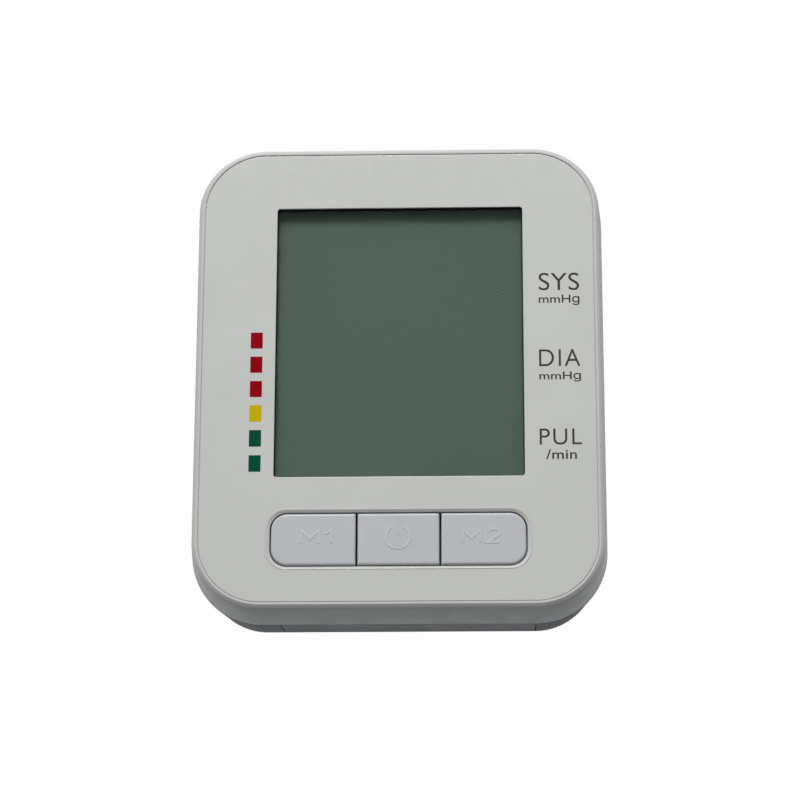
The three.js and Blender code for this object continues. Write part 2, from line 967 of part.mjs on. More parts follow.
// Cone-shaped spring, wound along +Z from the contact plate to the cell
class SpringCurve extends THREE.Curve {
  getPoint(t, target = new THREE.Vector3()) {
    const angle = t * springTurns * 2 * Math.PI;
    const radius = THREE.MathUtils.lerp(springWideRadius, springNarrowRadius, t);
    const rise = springHeight - pieceGap - springWire / 2;
    return target.set(radius * Math.cos(angle), radius * Math.sin(angle), rise * t);
  }
}

function springSolid() {
  const section = new THREE.Shape();
  section.absarc(0, 0, springWire / 2, 0, 2 * Math.PI);
  const geometry = new THREE.ExtrudeGeometry(section, {
    steps: springTurns * springStepsPerTurn,
    curveSegments: 3,
    extrudePath: new SpringCurve(),
    bevelEnabled: false,
  });
  return solidOf(geometry);
}

// A flat contact plate with springs where it meets a cell's flat end. It is drawn lying flat,
// springs up. A soldered one also has a tab that reaches the board.
function batteryContact(contact) {
  const { first, last, springs: springCells, soldered } = contact;
  const sheet = block(
    [cellX(first) - contactWidth / 2, -contactHeight / 2, 0],
    [cellX(last) + contactWidth / 2, contactHeight / 2, contactThickness],
  );
  const springs = springCells.map((index) => {
    return springSolid().translate([cellX(index), 0, contactThickness]);
  });
  if (!soldered) {
    return join(sheet, ...springs);
  }
  const tab = block(
    [cellX(first) - contactTabWidth / 2, 0, 0],
    [cellX(first) + contactTabWidth / 2, boardBottomZ - cellZ, contactThickness],
  );
  return join(sheet, tab, ...springs);
}

function smoothPath(points) {
  return new THREE.CatmullRomCurve3(points.map((point) => new THREE.Vector3(...point)));
}

// A short air tube with an open bore, along a smooth line through its points
function airTube(points) {
  const section = new THREE.Shape();
  section.absarc(0, 0, tubeRadius, 0, 2 * Math.PI);
  const bore = new THREE.Path();
  bore.absarc(0, 0, tubeBore, 0, 2 * Math.PI, true);
  section.holes.push(bore);
  return new THREE.ExtrudeGeometry(section, {
    steps: points.length > 2 ? tubeSteps : 1,
    curveSegments: tubeSides / 2,
    extrudePath: smoothPath(points),
    bevelEnabled: false,
  });
}

// A two-core lead from a part's end face up to the board
function lead(points) {
  const section = new THREE.Shape();
  section.absarc(0, 0, leadRadius, 0, 2 * Math.PI);
  return new THREE.ExtrudeGeometry(section, {
    steps: tubeSteps,
    curveSegments: tubeSides / 2,
    extrudePath: smoothPath(points),
    bevelEnabled: false,
  });
}

// Out of the face in the given X direction, then a bend and straight up
function leadRoute(startX, y, startZ, direction) {
  const riseX = startX + direction * leadBend;
  return lead([
    [startX + direction * pieceGap, y, startZ],
    [startX + direction * leadRadius, y, startZ],
    [riseX, y, startZ + leadRise],
    [riseX, y, boardBottomZ - leadRise],
    [riseX, y, boardBottomZ - pieceGap],
  ]);
}

function pumpMotor() {
  const bossX = pumpMotorMaxX + pumpBossLength;
  return join(
    bar(pumpRadius, pumpMotorMinX, pumpMotorMaxX, pumpY, pumpZ),
    bar(pumpBossRadius, pumpMotorMaxX - cutOver, bossX, pumpY, pumpZ, smallSides),
  );
}

function pumpHead() {
  const nozzleX = pumpHeadMinX - nozzleLength;
  return join(
    bar(pumpRadius, pumpHeadMinX, pumpHeadMaxX, pumpY, pumpZ),
    bar(nozzleRadius, nozzleX, pumpHeadMinX + cutOver, pumpY, pumpZ, tubeSides),
  );
}

function pumpSleeve(x) {
  const half = sleeveWidth / 2;
  return cut(
    bar(pumpRadius + sleeveWall, x - half, x + half, pumpY, pumpZ),
    bar(pumpRadius + tightGap, x - half - cutOver, x + half + cutOver, pumpY, pumpZ),
  );
}

// Release valve: a block on the case floor with a nozzle towards the air joint
function releaseValve() {
  const nozzleX = valveMinX - nozzleLength;
  const body = block(
    [valveMinX, valveY - valveWidth / 2, floorZ],
    [valveMinX + valveLength, valveY + valveWidth / 2, floorZ + valveHeight],
  );
  const nozzle = bar(nozzleRadius, nozzleX, valveMinX + cutOver, valveY, valveAxisZ, tubeSides);
  return join(body, nozzle);
}

// Four-way joint: a small block with a nozzle on each side
function airJoint() {
  const half = jointSide / 2;
  const reach = half + nozzleLength;
  const low = [jointX - half, jointY - half, airZ - half];
  const high = [jointX + half, jointY + half, airZ + half];
  return join(
    block(low, high),
    bar(nozzleRadius, jointX - reach, jointX + reach, jointY, airZ, tubeSides),
    barY(nozzleRadius, jointX, jointY - reach, jointY + reach, airZ, tubeSides),
  );
}

// Pressure sensor under the board, its nozzle pointing down
function pressureSensor() {
  const half = sensorSide / 2;
  return join(
    block([-half, -half, -sensorHeight], [half, half, 0]),
    post(nozzleRadius, 0, 0, -sensorHeight - nozzleLength, -sensorHeight + cutOver, tubeSides),
  );
}

// Air socket: flange outside, body through the wall, nozzle inside
const socketInnerX = socketSeatX + socketBoreDepth + socketFlangeWall;

function airSocket() {
  const body = join(
    bar(socketFlange, socketSeatX - socketFlangeWall, socketSeatX, jointY, airZ),
    bar(socketBody, socketSeatX - socketFlangeWall, socketInnerX, jointY, airZ),
    bar(nozzleRadius, socketInnerX - cutOver / 2, socketInnerX + nozzleLength, jointY, airZ, tubeSides),
  );
  const bore = bar(
    socketBore,
    socketSeatX - socketFlangeWall - cutOver,
    socketSeatX - socketFlangeWall + socketBoreDepth,
    jointY,
    airZ,
  );
  return cut(body, bore);
}

function socketNut() {
  return cut(
    bar(nutRadius, nutSeatX, nutSeatX + nutWidth, jointY, airZ, nutSides),
    bar(socketBody + tightGap, nutSeatX - cutOver, nutSeatX + nutWidth + cutOver, jointY, airZ),
  );
}

// Power socket: a block behind the wall, a round nose through it, a bore and a pin
function powerSocket() {
  const body = join(
    block(
      [jackBackX - jackDepth, jackY - jackWidth / 2, airZ - jackHeight / 2],
      [jackBackX, jackY + jackWidth / 2, airZ + jackHeight / 2],
    ),
    bar(jackNose, jackBackX - cutOver, jackFaceX, jackY, airZ),
  );
  const bore = bar(jackBore, jackFaceX - jackBoreDepth, jackFaceX + cutOver, jackY, airZ);
  const pin = bar(
    jackPin,
    jackFaceX - jackBoreDepth - jackPinRoot,
    jackFaceX - jackPinRoot,
    jackY,
    airZ,
    tubeSides,
  );
  return join(cut(body, bore), pin);
}

// Rubber foot with a rounded lower edge, its sole at zero
function foot() {
  const profile = [
    [0, 0],
    [footRadius - footProud / 2, 0],
    [footRadius, footProud / 2],
    [footRadius, footProud + footPocket],
    [0, footProud + footPocket],
  ].map(([x, y]) => new THREE.Vector2(x, y));
  const geometry = new THREE.LatheGeometry(profile, roundSides);
  geometry.rotateX(Math.PI / 2);
  return geometry;
}

// Materials
const finish = (color, roughness, metalness = 0) => (
  new THREE.MeshStandardMaterial({ color, roughness, metalness })
);
const caseFinish = finish(0xd6d7d5, 0.45);
const panelFinish = finish(0xe2e4e0, 0.18);
const windowFinish = new THREE.MeshStandardMaterial({
  color: 0xdfe6e2,
  roughness: 0.05,
  metalness: 0,
  transparent: true,
  opacity: 0.3,
});
const glassFinish = finish(0x6d7f71, 0.12);
const frameFinish = finish(0x1d1f20, 0.6);
const keyFinish = finish(0xc9cad2, 0.4);
const rubberFinish = finish(0x2a2b2d, 0.85);
const boardFinish = finish(0x1f5b38, 0.5);
const chipFinish = finish(0x202124, 0.5);
const steelFinish = finish(0xb5b8ba, 0.35, 0.9);
const nickelFinish = finish(0xcfd0cc, 0.3, 0.95);
const cellFinish = finish(0x3a3d45, 0.35, 0.3);
const tubeFinish = finish(0xd9dcd6, 0.5);
const valveFinish = finish(0xe8e6dc, 0.5);
const motorFinish = finish(0xa9adb0, 0.35, 0.85);
const jackFinish = finish(0x1b1b1c, 0.5);
const leadFinish = finish(0xa3201f, 0.5);

const monitor = new THREE.Group();

function addPiece(name, shape, material, parent = monitor) {
  const geometry = shape.isBufferGeometry ? shape : geometryOf(shape);
  const mesh = new THREE.Mesh(geometry, material);
  mesh.name = name;
  parent.add(mesh);
  return mesh;
}

// Case, panel and display
const housing = new THREE.Group();
monitor.add(housing);
addPiece('upper_shell', upperShell(), caseFinish, housing);
addPiece('lower_shell', lowerShell(), caseFinish, housing);
addPiece('face_panel', facePanel(), panelFinish, housing);
addPiece('display_window', displayWindow(), windowFinish, housing);
addPiece('display_frame', displayFrame(), frameFinish, housing);
addPiece('display_glass', displayGlass(), glassFinish, housing);
addPiece('display_contact_strip', contactStrip(), rubberFinish, housing);

// Board and its parts
const board = new THREE.Group();
monitor.add(board);
addPiece('main_board', mainBoard(), boardFinish, board);
addPiece('controller_chip', controllerChip(), chipFinish, board)
  .position.set(chipX, chipY, boardBottomZ);
addPiece('beeper', beeper(), chipFinish, board)
  .position.set(beeperX, beeperY, boardBottomZ);
addPiece('pressure_sensor', pressureSensor(), valveFinish, board)
  .position.set(sensorX, sensorY, boardBottomZ);

// Keys, each with its switch and plunger
const keyRow = new THREE.Group();
monitor.add(keyRow);
keys.forEach((key) => {
  const x = keyCentreX(key);
  addPiece(`${key.name}_key`, keyCap(key), keyFinish, keyRow);
  addPiece(`${key.name}_plunger`, switchPlunger(), rubberFinish, keyRow)
    .position.set(x, keyRowCentreY, switchTopZ);
  addPiece(`${key.name}_switch`, switchBody(), chipFinish, keyRow)
    .position.set(x, keyRowCentreY, boardTopZ);
});

// Battery door, cells and contacts
addPiece('battery_door', batteryDoor(), caseFinish);
const battery = new THREE.Group();
battery.position.set(0, 0, cellZ);
monitor.add(battery);
const flatEndsFront = [true, false, true, false];
flatEndsFront.forEach((flatFront, index) => {
  const mesh = addPiece(`battery_cell_${index + 1}`, cell(), cellFinish, battery);
  const flatGap = contactThickness + springHeight;
  const tipGap = contactThickness + pieceGap;
  const front = bayFrontY + (flatFront ? flatGap : tipGap);
  mesh.position.set(cellX(index), front + pieceGap + cellLength / 2, 0);
  mesh.rotation.z = flatFront ? 0 : Math.PI;
});
contacts.forEach((contact) => {
  const mesh = addPiece(contact.name, batteryContact(contact), nickelFinish, battery);
  mesh.rotation.x = contact.front ? -Math.PI / 2 : Math.PI / 2;
  mesh.position.y = contact.front ? bayFrontY : bayBackY;
});

// Air circuit
const air = new THREE.Group();
monitor.add(air);
addPiece('pump_motor', pumpMotor(), motorFinish, air);
addPiece('pump_head', pumpHead(), chipFinish, air);
addPiece('pump_sleeve_motor', pumpSleeve(sleeveMotorX), rubberFinish, air);
addPiece('pump_sleeve_head', pumpSleeve(sleeveHeadX), rubberFinish, air);
addPiece('release_valve', releaseValve(), valveFinish, air);
addPiece('air_joint', airJoint(), valveFinish, air);
addPiece('air_socket', airSocket(), jackFinish, air);
addPiece('air_socket_nut', socketNut(), jackFinish, air);

const jointFaceX = jointX + jointSide / 2 + pieceGap;
const jointFaceY = jointSide / 2 + pieceGap;
addPiece('air_tube_socket', airTube([
  [socketInnerX + pieceGap, jointY, airZ],
  [jointX - jointSide / 2 - pieceGap, jointY, airZ],
]), tubeFinish, air);
addPiece('air_tube_pump', airTube([
  [pumpHeadMinX - pieceGap, pumpY, pumpZ],
  [pumpHeadMinX - nozzleLength, pumpY, pumpZ],
  [jointX + tubeRadius, pumpY - tubeRadius / 2, (pumpZ + airZ) / 2],
  [jointX, jointY + jointFaceY + nozzleLength, airZ],
  [jointX, jointY + jointFaceY, airZ],
]), tubeFinish, air);
addPiece('air_tube_valve', airTube([
  [jointFaceX, jointY, airZ],
  [jointFaceX + nozzleLength, jointY, airZ],
  [(jointFaceX + valveMinX) / 2, (jointY + valveY) / 2, (airZ + valveAxisZ) / 2],
  [valveMinX - nozzleLength, valveY, valveAxisZ],
  [valveMinX - pieceGap, valveY, valveAxisZ],
]), tubeFinish, air);
addPiece('air_tube_sensor', airTube([
  [jointX, jointY - jointFaceY, airZ],
  [jointX, jointY - jointFaceY - nozzleLength, airZ],
  [(jointX + sensorX) / 2, sensorY + tubeBendReach, airZ],
  [sensorX, sensorY, boardBottomZ - sensorHeight - nozzleLength],
  [sensorX, sensorY, boardBottomZ - sensorHeight - pieceGap],
]), tubeFinish, air);

// Power socket and the leads
addPiece('power_socket', powerSocket(), jackFinish);
addPiece('pump_lead', leadRoute(pumpMotorMaxX, pumpY - pumpLeadOffset, pumpZ, 1), leadFinish);
addPiece('valve_lead', leadRoute(valveMinX + valveLength, valveY, valveAxisZ, 1), leadFinish);
addPiece('power_lead', leadRoute(jackBackX - jackDepth, jackY, airZ, -1), leadFinish);

// Feet and screws
const hardware = new THREE.Group();
monitor.add(hardware);
const sideNames = { '-1': 'left', 1: 'right' };
const endNames = { '-1': 'front', 1: 'back' };
const caseScrewReach = postMeetZ + caseScrewBite - bottomZ - caseScrewSeat;
atPosts((signX, signY) => {
  const place = `${endNames[signY]}_${sideNames[signX]}`;
  addPiece(`foot_${place}`, foot(), rubberFinish, hardware)
    .position.set(signX * footX, signY * footY, 0);
  addPiece(
    `case_screw_${place}`,
    screw(caseScrewRadius, caseScrewReach, caseScrewHead, caseScrewHeadHeight),
    steelFinish,
    hardware,
  ).position.set(signX * casePostX, signY * casePostY, bottomZ + caseScrewSeat);
});
boardPostPlaces.forEach(([x, y]) => {
  const place = `${endNames[Math.sign(y)]}_${sideNames[Math.sign(x)]}`;
  const reach = boardThickness + boardScrewBite;
  addPiece(
    `board_screw_${place}`,
    screw(boardScrewRadius, reach, boardScrewHead, boardScrewHeadHeight),
    steelFinish,
    hardware,
  ).position.set(x, y, boardBottomZ);
});

export default monitor;
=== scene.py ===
import math

import bmesh
import bpy
import numpy as np
from mathutils import Matrix, Vector
from mathutils.geometry import tessellate_polygon


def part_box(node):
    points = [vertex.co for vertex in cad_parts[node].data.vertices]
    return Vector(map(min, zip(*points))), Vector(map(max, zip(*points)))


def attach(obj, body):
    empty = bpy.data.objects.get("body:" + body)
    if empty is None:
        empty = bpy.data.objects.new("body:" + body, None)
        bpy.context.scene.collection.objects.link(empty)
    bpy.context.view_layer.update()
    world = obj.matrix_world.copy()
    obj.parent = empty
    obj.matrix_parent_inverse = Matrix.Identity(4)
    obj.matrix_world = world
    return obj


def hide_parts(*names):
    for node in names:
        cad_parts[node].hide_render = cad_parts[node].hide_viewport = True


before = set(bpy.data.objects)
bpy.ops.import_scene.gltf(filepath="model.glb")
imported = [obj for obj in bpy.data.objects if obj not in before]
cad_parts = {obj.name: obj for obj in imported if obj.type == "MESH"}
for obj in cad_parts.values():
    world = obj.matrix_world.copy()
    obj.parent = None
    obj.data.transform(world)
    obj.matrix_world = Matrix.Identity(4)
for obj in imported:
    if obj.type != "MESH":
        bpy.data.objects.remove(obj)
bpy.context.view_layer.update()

scene = bpy.context.scene
scene.view_settings.view_transform = "Standard"
mm = 0.001
print("frame loaded:", len(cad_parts), "nodes")


def newObject(name, data):
    # an object of the scene that holds the mesh, lamp, camera or curve
    made = bpy.data.objects.new(name, data)
    scene.collection.objects.link(made)
    return made


def evaluatedMesh(holder):
    # what the holder shows once its modifiers have run or its letters are filled
    return bpy.data.meshes.new_from_object(holder.evaluated_get(bpy.context.evaluated_depsgraph_get()))


# Camera

cameraView = {
    "lens": 135.0, "sensor": 36.0, "clip": (0.01, 50),
    "tilt": 18.37,        # degrees from straight above, towards the keys
    "swing": 1.8,         # degrees to the right
    "roll": 0.155, "lookAt": (0.484, -7.861, 38.0), "distance": 806.78,
}


def placeCamera(view):
    # place = lookAt + distance * away, where tilt and swing turn away from straight up
    tilt, swing, roll = (math.radians(view[key]) for key in ("tilt", "swing", "roll"))
    away = Vector((math.sin(swing), -math.sin(tilt) * math.cos(swing), math.cos(tilt) * math.cos(swing)))
    right = Vector((0, 1, 0)).cross(away).normalized()
    up = away.cross(right)
    axisX = right * math.cos(roll) + up * math.sin(roll)
    axisY = up * math.cos(roll) - right * math.sin(roll)
    data = bpy.data.cameras.new("viewCamera")
    data.lens, data.sensor_width = view["lens"], view["sensor"]
    data.clip_start, data.clip_end = view["clip"]
    camera = newObject("viewCamera", data)
    place = (Vector(view["lookAt"]) + away * view["distance"]) * mm
    for row in range(3):
        camera.matrix_world[row][:] = (axisX[row], axisY[row], away[row], place[row])
    scene.camera = camera


placeCamera(cameraView)


# Node helpers

def fill(tree, node, values):
    # an input takes a link where its value is a socket, and the plain value otherwise
    for label, value in values.items():
        if isinstance(value, bpy.types.NodeSocket):
            tree.links.new(value, node.inputs[label])
        else:
            node.inputs[label].default_value = value
    return node


def addNode(tree, kind, inputs={}, **settings):
    # a new node with its settings and inputs, given as its outputs
    node = tree.nodes.new("ShaderNode" + kind)
    for label, value in settings.items():
        setattr(node, label, value)
    return fill(tree, node, inputs).outputs


def compute(tree, operation, first, second):
    # first and second joined by the operation
    return addNode(tree, "Math", {0: first, 1: second}, operation=operation)[0]


def ranged(tree, value, span, low, high, **settings):
    # a value that runs over the span, stretched to run from low to high
    inputs = {"Value": value, "From Min": span[0], "From Max": span[1], "To Min": low, "To Max": high}
    return addNode(tree, "MapRange", inputs, **settings)["Result"]


def mixed(tree, share, first, second, kind="RGBA"):
    # first * (1 - share) + second * share
    return addNode(tree, "Mix", {"Factor": share, "A": first, "B": second}, data_type=kind)["Result"]


def mixShader(tree, share, first, second):
    # the same for two shaders
    return addNode(tree, "MixShader", {0: share, 1: first, 2: second})[0]


def noise(tree, vector, scale, detail, roughness):
    # cloudy values about 0.5
    inputs = {"Vector": vector, "Scale": scale, "Detail": detail, "Roughness": roughness}
    return addNode(tree, "TexNoise", inputs)["Fac"]


# Light and floor

studio = {
    "skyFacing": (-0.26, 0.95, 0.0), "skyRange": (-0.7, 0.1),
    "skyFront": 0.065,          # what the object gets from the front
    "skyBack": 0.7,             # and from behind, above and the sides
    "skyShown": 1.0,            # what the camera, gloss and clear pieces show of it
    "lampPower": 22.0, "lampSize": 0.8, "lampPlace": (-0.1, 1.25, 1.35),
    "floorColor": (0.15, 0.173, 0.205, 1), "floorRough": 0.9,
    "floorWhite": 0.985,        # how far the floor is lifted to white where it is seen
    "floorHalf": 6.0,
    "floorLow": -0.0002,        # just under the feet
    "floorReach": 0.005,        # light that starts nearer than this passes the floor
}


def seenRay(tree):
    # one for a ray from the camera, off gloss or through a clear piece, and none once it lights a surface
    path = addNode(tree, "LightPath")
    seen = compute(tree, "MAXIMUM", path["Is Camera Ray"], path["Is Glossy Ray"])
    seen = compute(tree, "MAXIMUM", seen, path["Is Transmission Ray"])
    return compute(tree, "MULTIPLY", seen, compute(tree, "LESS_THAN", path["Diffuse Depth"], 0.5))


def lightStudio(v):
    # sky strength = smooth step of direction . skyFacing, and plain white where it is seen
    world = bpy.data.worlds.new("softSky")
    world.use_nodes = True
    scene.world = world
    tree = world.node_tree
    direction = addNode(tree, "TexCoord")["Generated"]
    facing = addNode(
        tree, "VectorMath", {0: direction, 1: v["skyFacing"]}, operation="DOT_PRODUCT")["Value"]
    sky = ranged(tree, facing, v["skyRange"], v["skyFront"], v["skyBack"], interpolation_type="SMOOTHSTEP")
    strength = ranged(tree, seenRay(tree), (0, 1), sky, v["skyShown"])
    fill(tree, tree.nodes["Background"], {"Color": (1, 1, 1, 1), "Strength": strength})
    lamp = bpy.data.lights.new("softLamp", "AREA")
    lamp.shape, lamp.size, lamp.energy = "DISK", v["lampSize"], v["lampPower"]
    lampObject = newObject("softLamp", lamp)
    lampObject.location = v["lampPlace"]
    lampObject.rotation_euler = Vector(v["lampPlace"]).to_track_quat("Z", "Y").to_euler()


def layFloor(v):
    # shaded floor mixed with white where it is seen; clear from below and near the object's underside
    half, low = v["floorHalf"], v["floorLow"]
    corners = [(-half, -half, low), (half, -half, low), (half, half, low), (-half, half, low)]
    mesh = bpy.data.meshes.new("floor")
    mesh.from_pydata(corners, [], [(0, 1, 2, 3)])
    material = bpy.data.materials.new("paleFloor")
    material.use_nodes = True
    tree = material.node_tree
    shader = fill(tree, tree.nodes["Principled BSDF"], {
        "Base Color": v["floorColor"], "Roughness": v["floorRough"]})
    white = compute(tree, "MULTIPLY", seenRay(tree), v["floorWhite"])
    plain = mixShader(tree, white, shader.outputs[0], addNode(tree, "Emission")[0])
    near = compute(tree, "LESS_THAN", addNode(tree, "LightPath")["Ray Length"], v["floorReach"])
    clear = compute(tree, "MAXIMUM", addNode(tree, "NewGeometry")["Backfacing"], near)
    surface = mixShader(tree, clear, plain, addNode(tree, "BsdfTransparent")[0])
    fill(tree, tree.nodes["Material Output"], {"Surface": surface})
    mesh.materials.append(material)
    newObject("floor", mesh)


lightStudio(studio)
layFloor(studio)
print("camera, light and floor placed")


# Shape helpers. All sizes are millimetres until a mesh is made

signPairs = [(x, y) for x in (-1, 1) for y in (-1, 1)]
joinReach = 2e-6        # metres within which points are one
cornerShare = 1.2       # radius of a block's upright corners / that of its edges
past = 1.0              # how far a cutting tool reaches past what it cuts


def nodeBox(name):
    # lowest and highest corner of a node of the frame
    return [np.array(corner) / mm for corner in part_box(name)]


def planOf(low, high):
    # centre and half size of a box as seen from above
    low, high = np.asarray(low, float)[:2], np.asarray(high, float)[:2]
    return (low + high) / 2, (high - low) / 2


def circlePoints(turn):
    # (cos a, sin a) for every angle a
    return np.stack([np.cos(turn), np.sin(turn)], -1)


def fullTurn(sides):
    # angles of equal steps once round
    return np.arange(sides) * 2 * math.pi / sides


def roundedOutline(half, corners, centre=(0, 0), steps=22):
    # point = corner centre + radius * (cos a, sin a), with a going through each corner's quarter turn
    radii = np.broadcast_to(np.asarray(corners, float), (4,))[:, None]
    signs = np.array([[1, 1], [-1, 1], [-1, -1], [1, -1]])
    turn = (np.arange(4)[:, None] + np.linspace(0, 1, steps + 1)) * math.pi / 2
    centres = signs * (np.asarray(half) - radii)
    return (centres[:, None] + radii[:, None] * circlePoints(turn)).reshape(-1, 2) + centre


def circleOutline(radius, centre, sides=40):
    # point = centre + radius * (cos a, sin a)
    return circlePoints(fullTurn(sides)) * radius + centre


def atHeight(outline, z):
    # the outline's points, all with one z
    return np.column_stack([outline, np.full(len(outline), z)])


def edgeRound(offset, z, radius, side=1, up=1, steps=5):
    # quarter circle from the side (offset, z - up * radius) to the face (offset - side * radius, z)
    across, rise = 1 - circlePoints(np.linspace(0, math.pi / 2, steps + 1)).T
    return np.column_stack([offset - side * radius * across, z - up * radius * rise])


def tube(rings):
    # four-sided faces between each ring and the next, closed round
    rings = np.asarray(rings, float)
    rows, count = rings.shape[:2]
    index = np.arange(rows * count).reshape(rows, count)
    after = np.roll(index, -1, axis=1)
    quads = np.stack([index[:-1], after[:-1], after[1:], index[1:]], -1)
    return rings.reshape(-1, 3), quads.reshape(-1, 4).tolist()


def sweepRows(rows, outlineAt):
    # the outline at each row's offset, lifted to the row's height
    return tube([atHeight(outlineAt(offset), z) for offset, z in rows])


def flat(z, outer, *holes):
    # triangles that fill a level outline and leave its holes open
    loops = [atHeight(loop, z) for loop in (outer, *holes)]
    triangles = tessellate_polygon([loop.tolist() for loop in loops])
    return np.concatenate(loops), [list(corner) for corner in triangles]


def prism(rows, outlineAt):
    # rows of outlines with both ends filled
    return [sweepRows(rows, outlineAt), *[flat(rows[end][1], outlineAt(rows[end][0])) for end in (0, -1)]]


def box(low, high):
    # eight corners and six faces
    low, high = np.asarray(low, float), np.asarray(high, float)
    bits = np.array([[i & 1, i >> 1 & 1, i >> 2 & 1] for i in range(8)])
    faces = [[0, 2, 3, 1], [4, 5, 7, 6], [0, 1, 5, 4], [2, 6, 7, 3], [0, 4, 6, 2], [1, 3, 7, 5]]
    return low + bits * (high - low), faces


def roundedBox(low, high, edge, steps=3):
    # a box with rounded upright corners and softened upper and lower edges
    centre, half = planOf(low, high)
    rows = np.vstack([
        edgeRound(0, low[2], edge, up=-1, steps=steps)[::-1], edgeRound(0, high[2], edge, steps=steps)])
    return prism(rows, lambda grow: roundedOutline(half + grow, edge * cornerShare + grow, centre, steps))


def turned(profile, place, axis="z", sides=40):
    # each profile point (distance along the axis, radius) goes once round the axis
    profile = np.asarray(profile, float)
    along = np.repeat(profile[:, None, :1], sides, axis=1)
    rings = np.concatenate([profile[:, None, 1:] * circlePoints(fullTurn(sides)), along], -1)
    order = {"x": [2, 0, 1], "y": [1, 2, 0], "z": [0, 1, 2]}[axis]
    return tube(rings[..., order] + np.asarray(place, float))


def rod(radius, low, high, place, axis="z", chamfer=0.0, sides=40):
    # a closed round bar whose ends may be chamfered
    profile = [(low, 0), (low, radius - chamfer), (low + chamfer, radius),
               (high - chamfer, radius), (high, radius - chamfer), (high, 0)]
    return turned(profile, place, axis, sides)


def groove(at, radius, wide, narrow, depth):
    # profile points across a groove: half width wide on the surface and narrow on its floor
    low = radius - depth
    return [(at - wide, radius), (at - narrow, low), (at + narrow, low), (at + wide, radius)]


def mended(mesh, reach):
    # points within reach become one, and the faces are turned outwards
    work = bmesh.new()
    work.from_mesh(mesh)
    bmesh.ops.remove_doubles(work, verts=work.verts, dist=reach)
    bmesh.ops.recalc_face_normals(work, faces=work.faces)
    work.to_mesh(mesh)
    work.free()
    return mesh


def meshOf(*parts):
    # the parts' points and faces in one mesh, joined where points meet
    points, faces, start = [], [], 0
    for partPoints, partFaces in parts:
        points.append(np.asarray(partPoints, float) * mm)
        faces += [[start + corner for corner in face] for face in partFaces]
        start += len(partPoints)
    mesh = bpy.data.meshes.new("part")
    mesh.from_pydata(np.concatenate(points).tolist(), [], faces)
    return mended(mesh, joinReach)


def solid(rows, outlineAt):
    # swept rows with both ends filled
    return meshOf(*prism(rows, outlineAt))


def block(low, high, edge):
    # a box with softened edges
    return meshOf(*roundedBox(low, high, edge))


def boxMesh(low, high):
    # a box with sharp edges
    return meshOf(box(low, high))


def lathe(profile, place, axis="z", sides=40):
    # a profile turned about an axis
    return meshOf(turned(profile, place, axis, sides))


def bar(*values, **settings):
    # a closed round bar
    return meshOf(rod(*values, **settings))


def carve(mesh, *tools, operation="DIFFERENCE"):
    # cuts each tool mesh out of the mesh, joins it on or keeps what they share, one after another
    base, *helpers = [newObject("carve", part) for part in (mesh, *tools)]
    for helper in helpers:
        step = base.modifiers.new("carve", "BOOLEAN")
        step.operation, step.solver, step.object = operation, "MANIFOLD", helper
    result = evaluatedMesh(base)
    for part in (base, *helpers):
        bpy.data.objects.remove(part)
    return result


def join(mesh, *others):
    # all meshes as one
    return carve(mesh, *others, operation="UNION")


def shared(mesh, other):
    # what lies in both meshes
    return carve(mesh, other, operation="INTERSECT")


def shifted(mesh, place):
    # a copy of the mesh, moved by the place
    copy = mesh.copy()
    copy.transform(Matrix.Translation(Vector([float(part) * mm for part in place])))
    return copy


def readAll(items, key, width=1, kind=float):
    # one value of every item as an array, with a column for each part of the value
    found = np.empty(len(items) * width, kind)
    items.foreach_get(key, found)
    return found.reshape(-1, width) if width > 1 else found


wornEdge = {"from": 400.0, "to": 2400.0, "level": 0.99999}    # curvature per metre: none below, full above


def markEdges(mesh):
    # curvature over an edge = change of normal along the line between its two faces' centres / that length
    normals, centres = (readAll(mesh.polygons, key, 3) for key in ("normal", "center"))
    totals = readAll(mesh.polygons, "loop_total", kind=int)
    edgeOf, ends = readAll(mesh.loops, "edge_index", kind=int), readAll(mesh.edges, "vertices", 2, int)
    order = np.argsort(edgeOf, kind="stable")
    faces, edges = np.repeat(np.arange(len(totals)), totals)[order], edgeOf[order]
    paired = edges[1:] == edges[:-1]
    first, second, joint = faces[:-1][paired], faces[1:][paired], edges[1:][paired]
    apart = centres[second] - centres[first]
    curve = ((normals[second] - normals[first]) * apart).sum(1) / np.maximum((apart ** 2).sum(1), 1e-12)
    peak = np.zeros(len(mesh.vertices))
    np.maximum.at(peak, ends[joint].ravel(), np.repeat(curve, 2))
    worn = np.clip((peak - wornEdge["from"]) / (wornEdge["to"] - wornEdge["from"]), 0, 1)
    mesh.attributes.new("edge", "FLOAT", "POINT").data.foreach_set("value", worn)
    level = (np.abs(normals[:, 2]) > wornEdge["level"]) & (totals != 4)
    mesh.polygons.foreach_set("use_smooth", ~level)    # level ends stay truly flat


# Shared finish effects

def newGroup(name, inputs, outputs):
    # a number makes a plain input, four parts a colour and three a vector
    group = bpy.data.node_groups.new(name, "ShaderNodeTree")
    for label, value in inputs.items():
        kind = "Float" if isinstance(value, float) else {3: "Vector", 4: "Color"}[len(value)]
        socket = group.interface.new_socket(label, in_out="INPUT", socket_type="NodeSocket" + kind)
        socket.default_value = value
    for label in outputs:
        kind = "Color" if label == "Color" else "Float"
        group.interface.new_socket(label, in_out="OUTPUT", socket_type="NodeSocket" + kind)
    return group, group.nodes.new("NodeGroupInput").outputs, group.nodes.new("NodeGroupOutput")


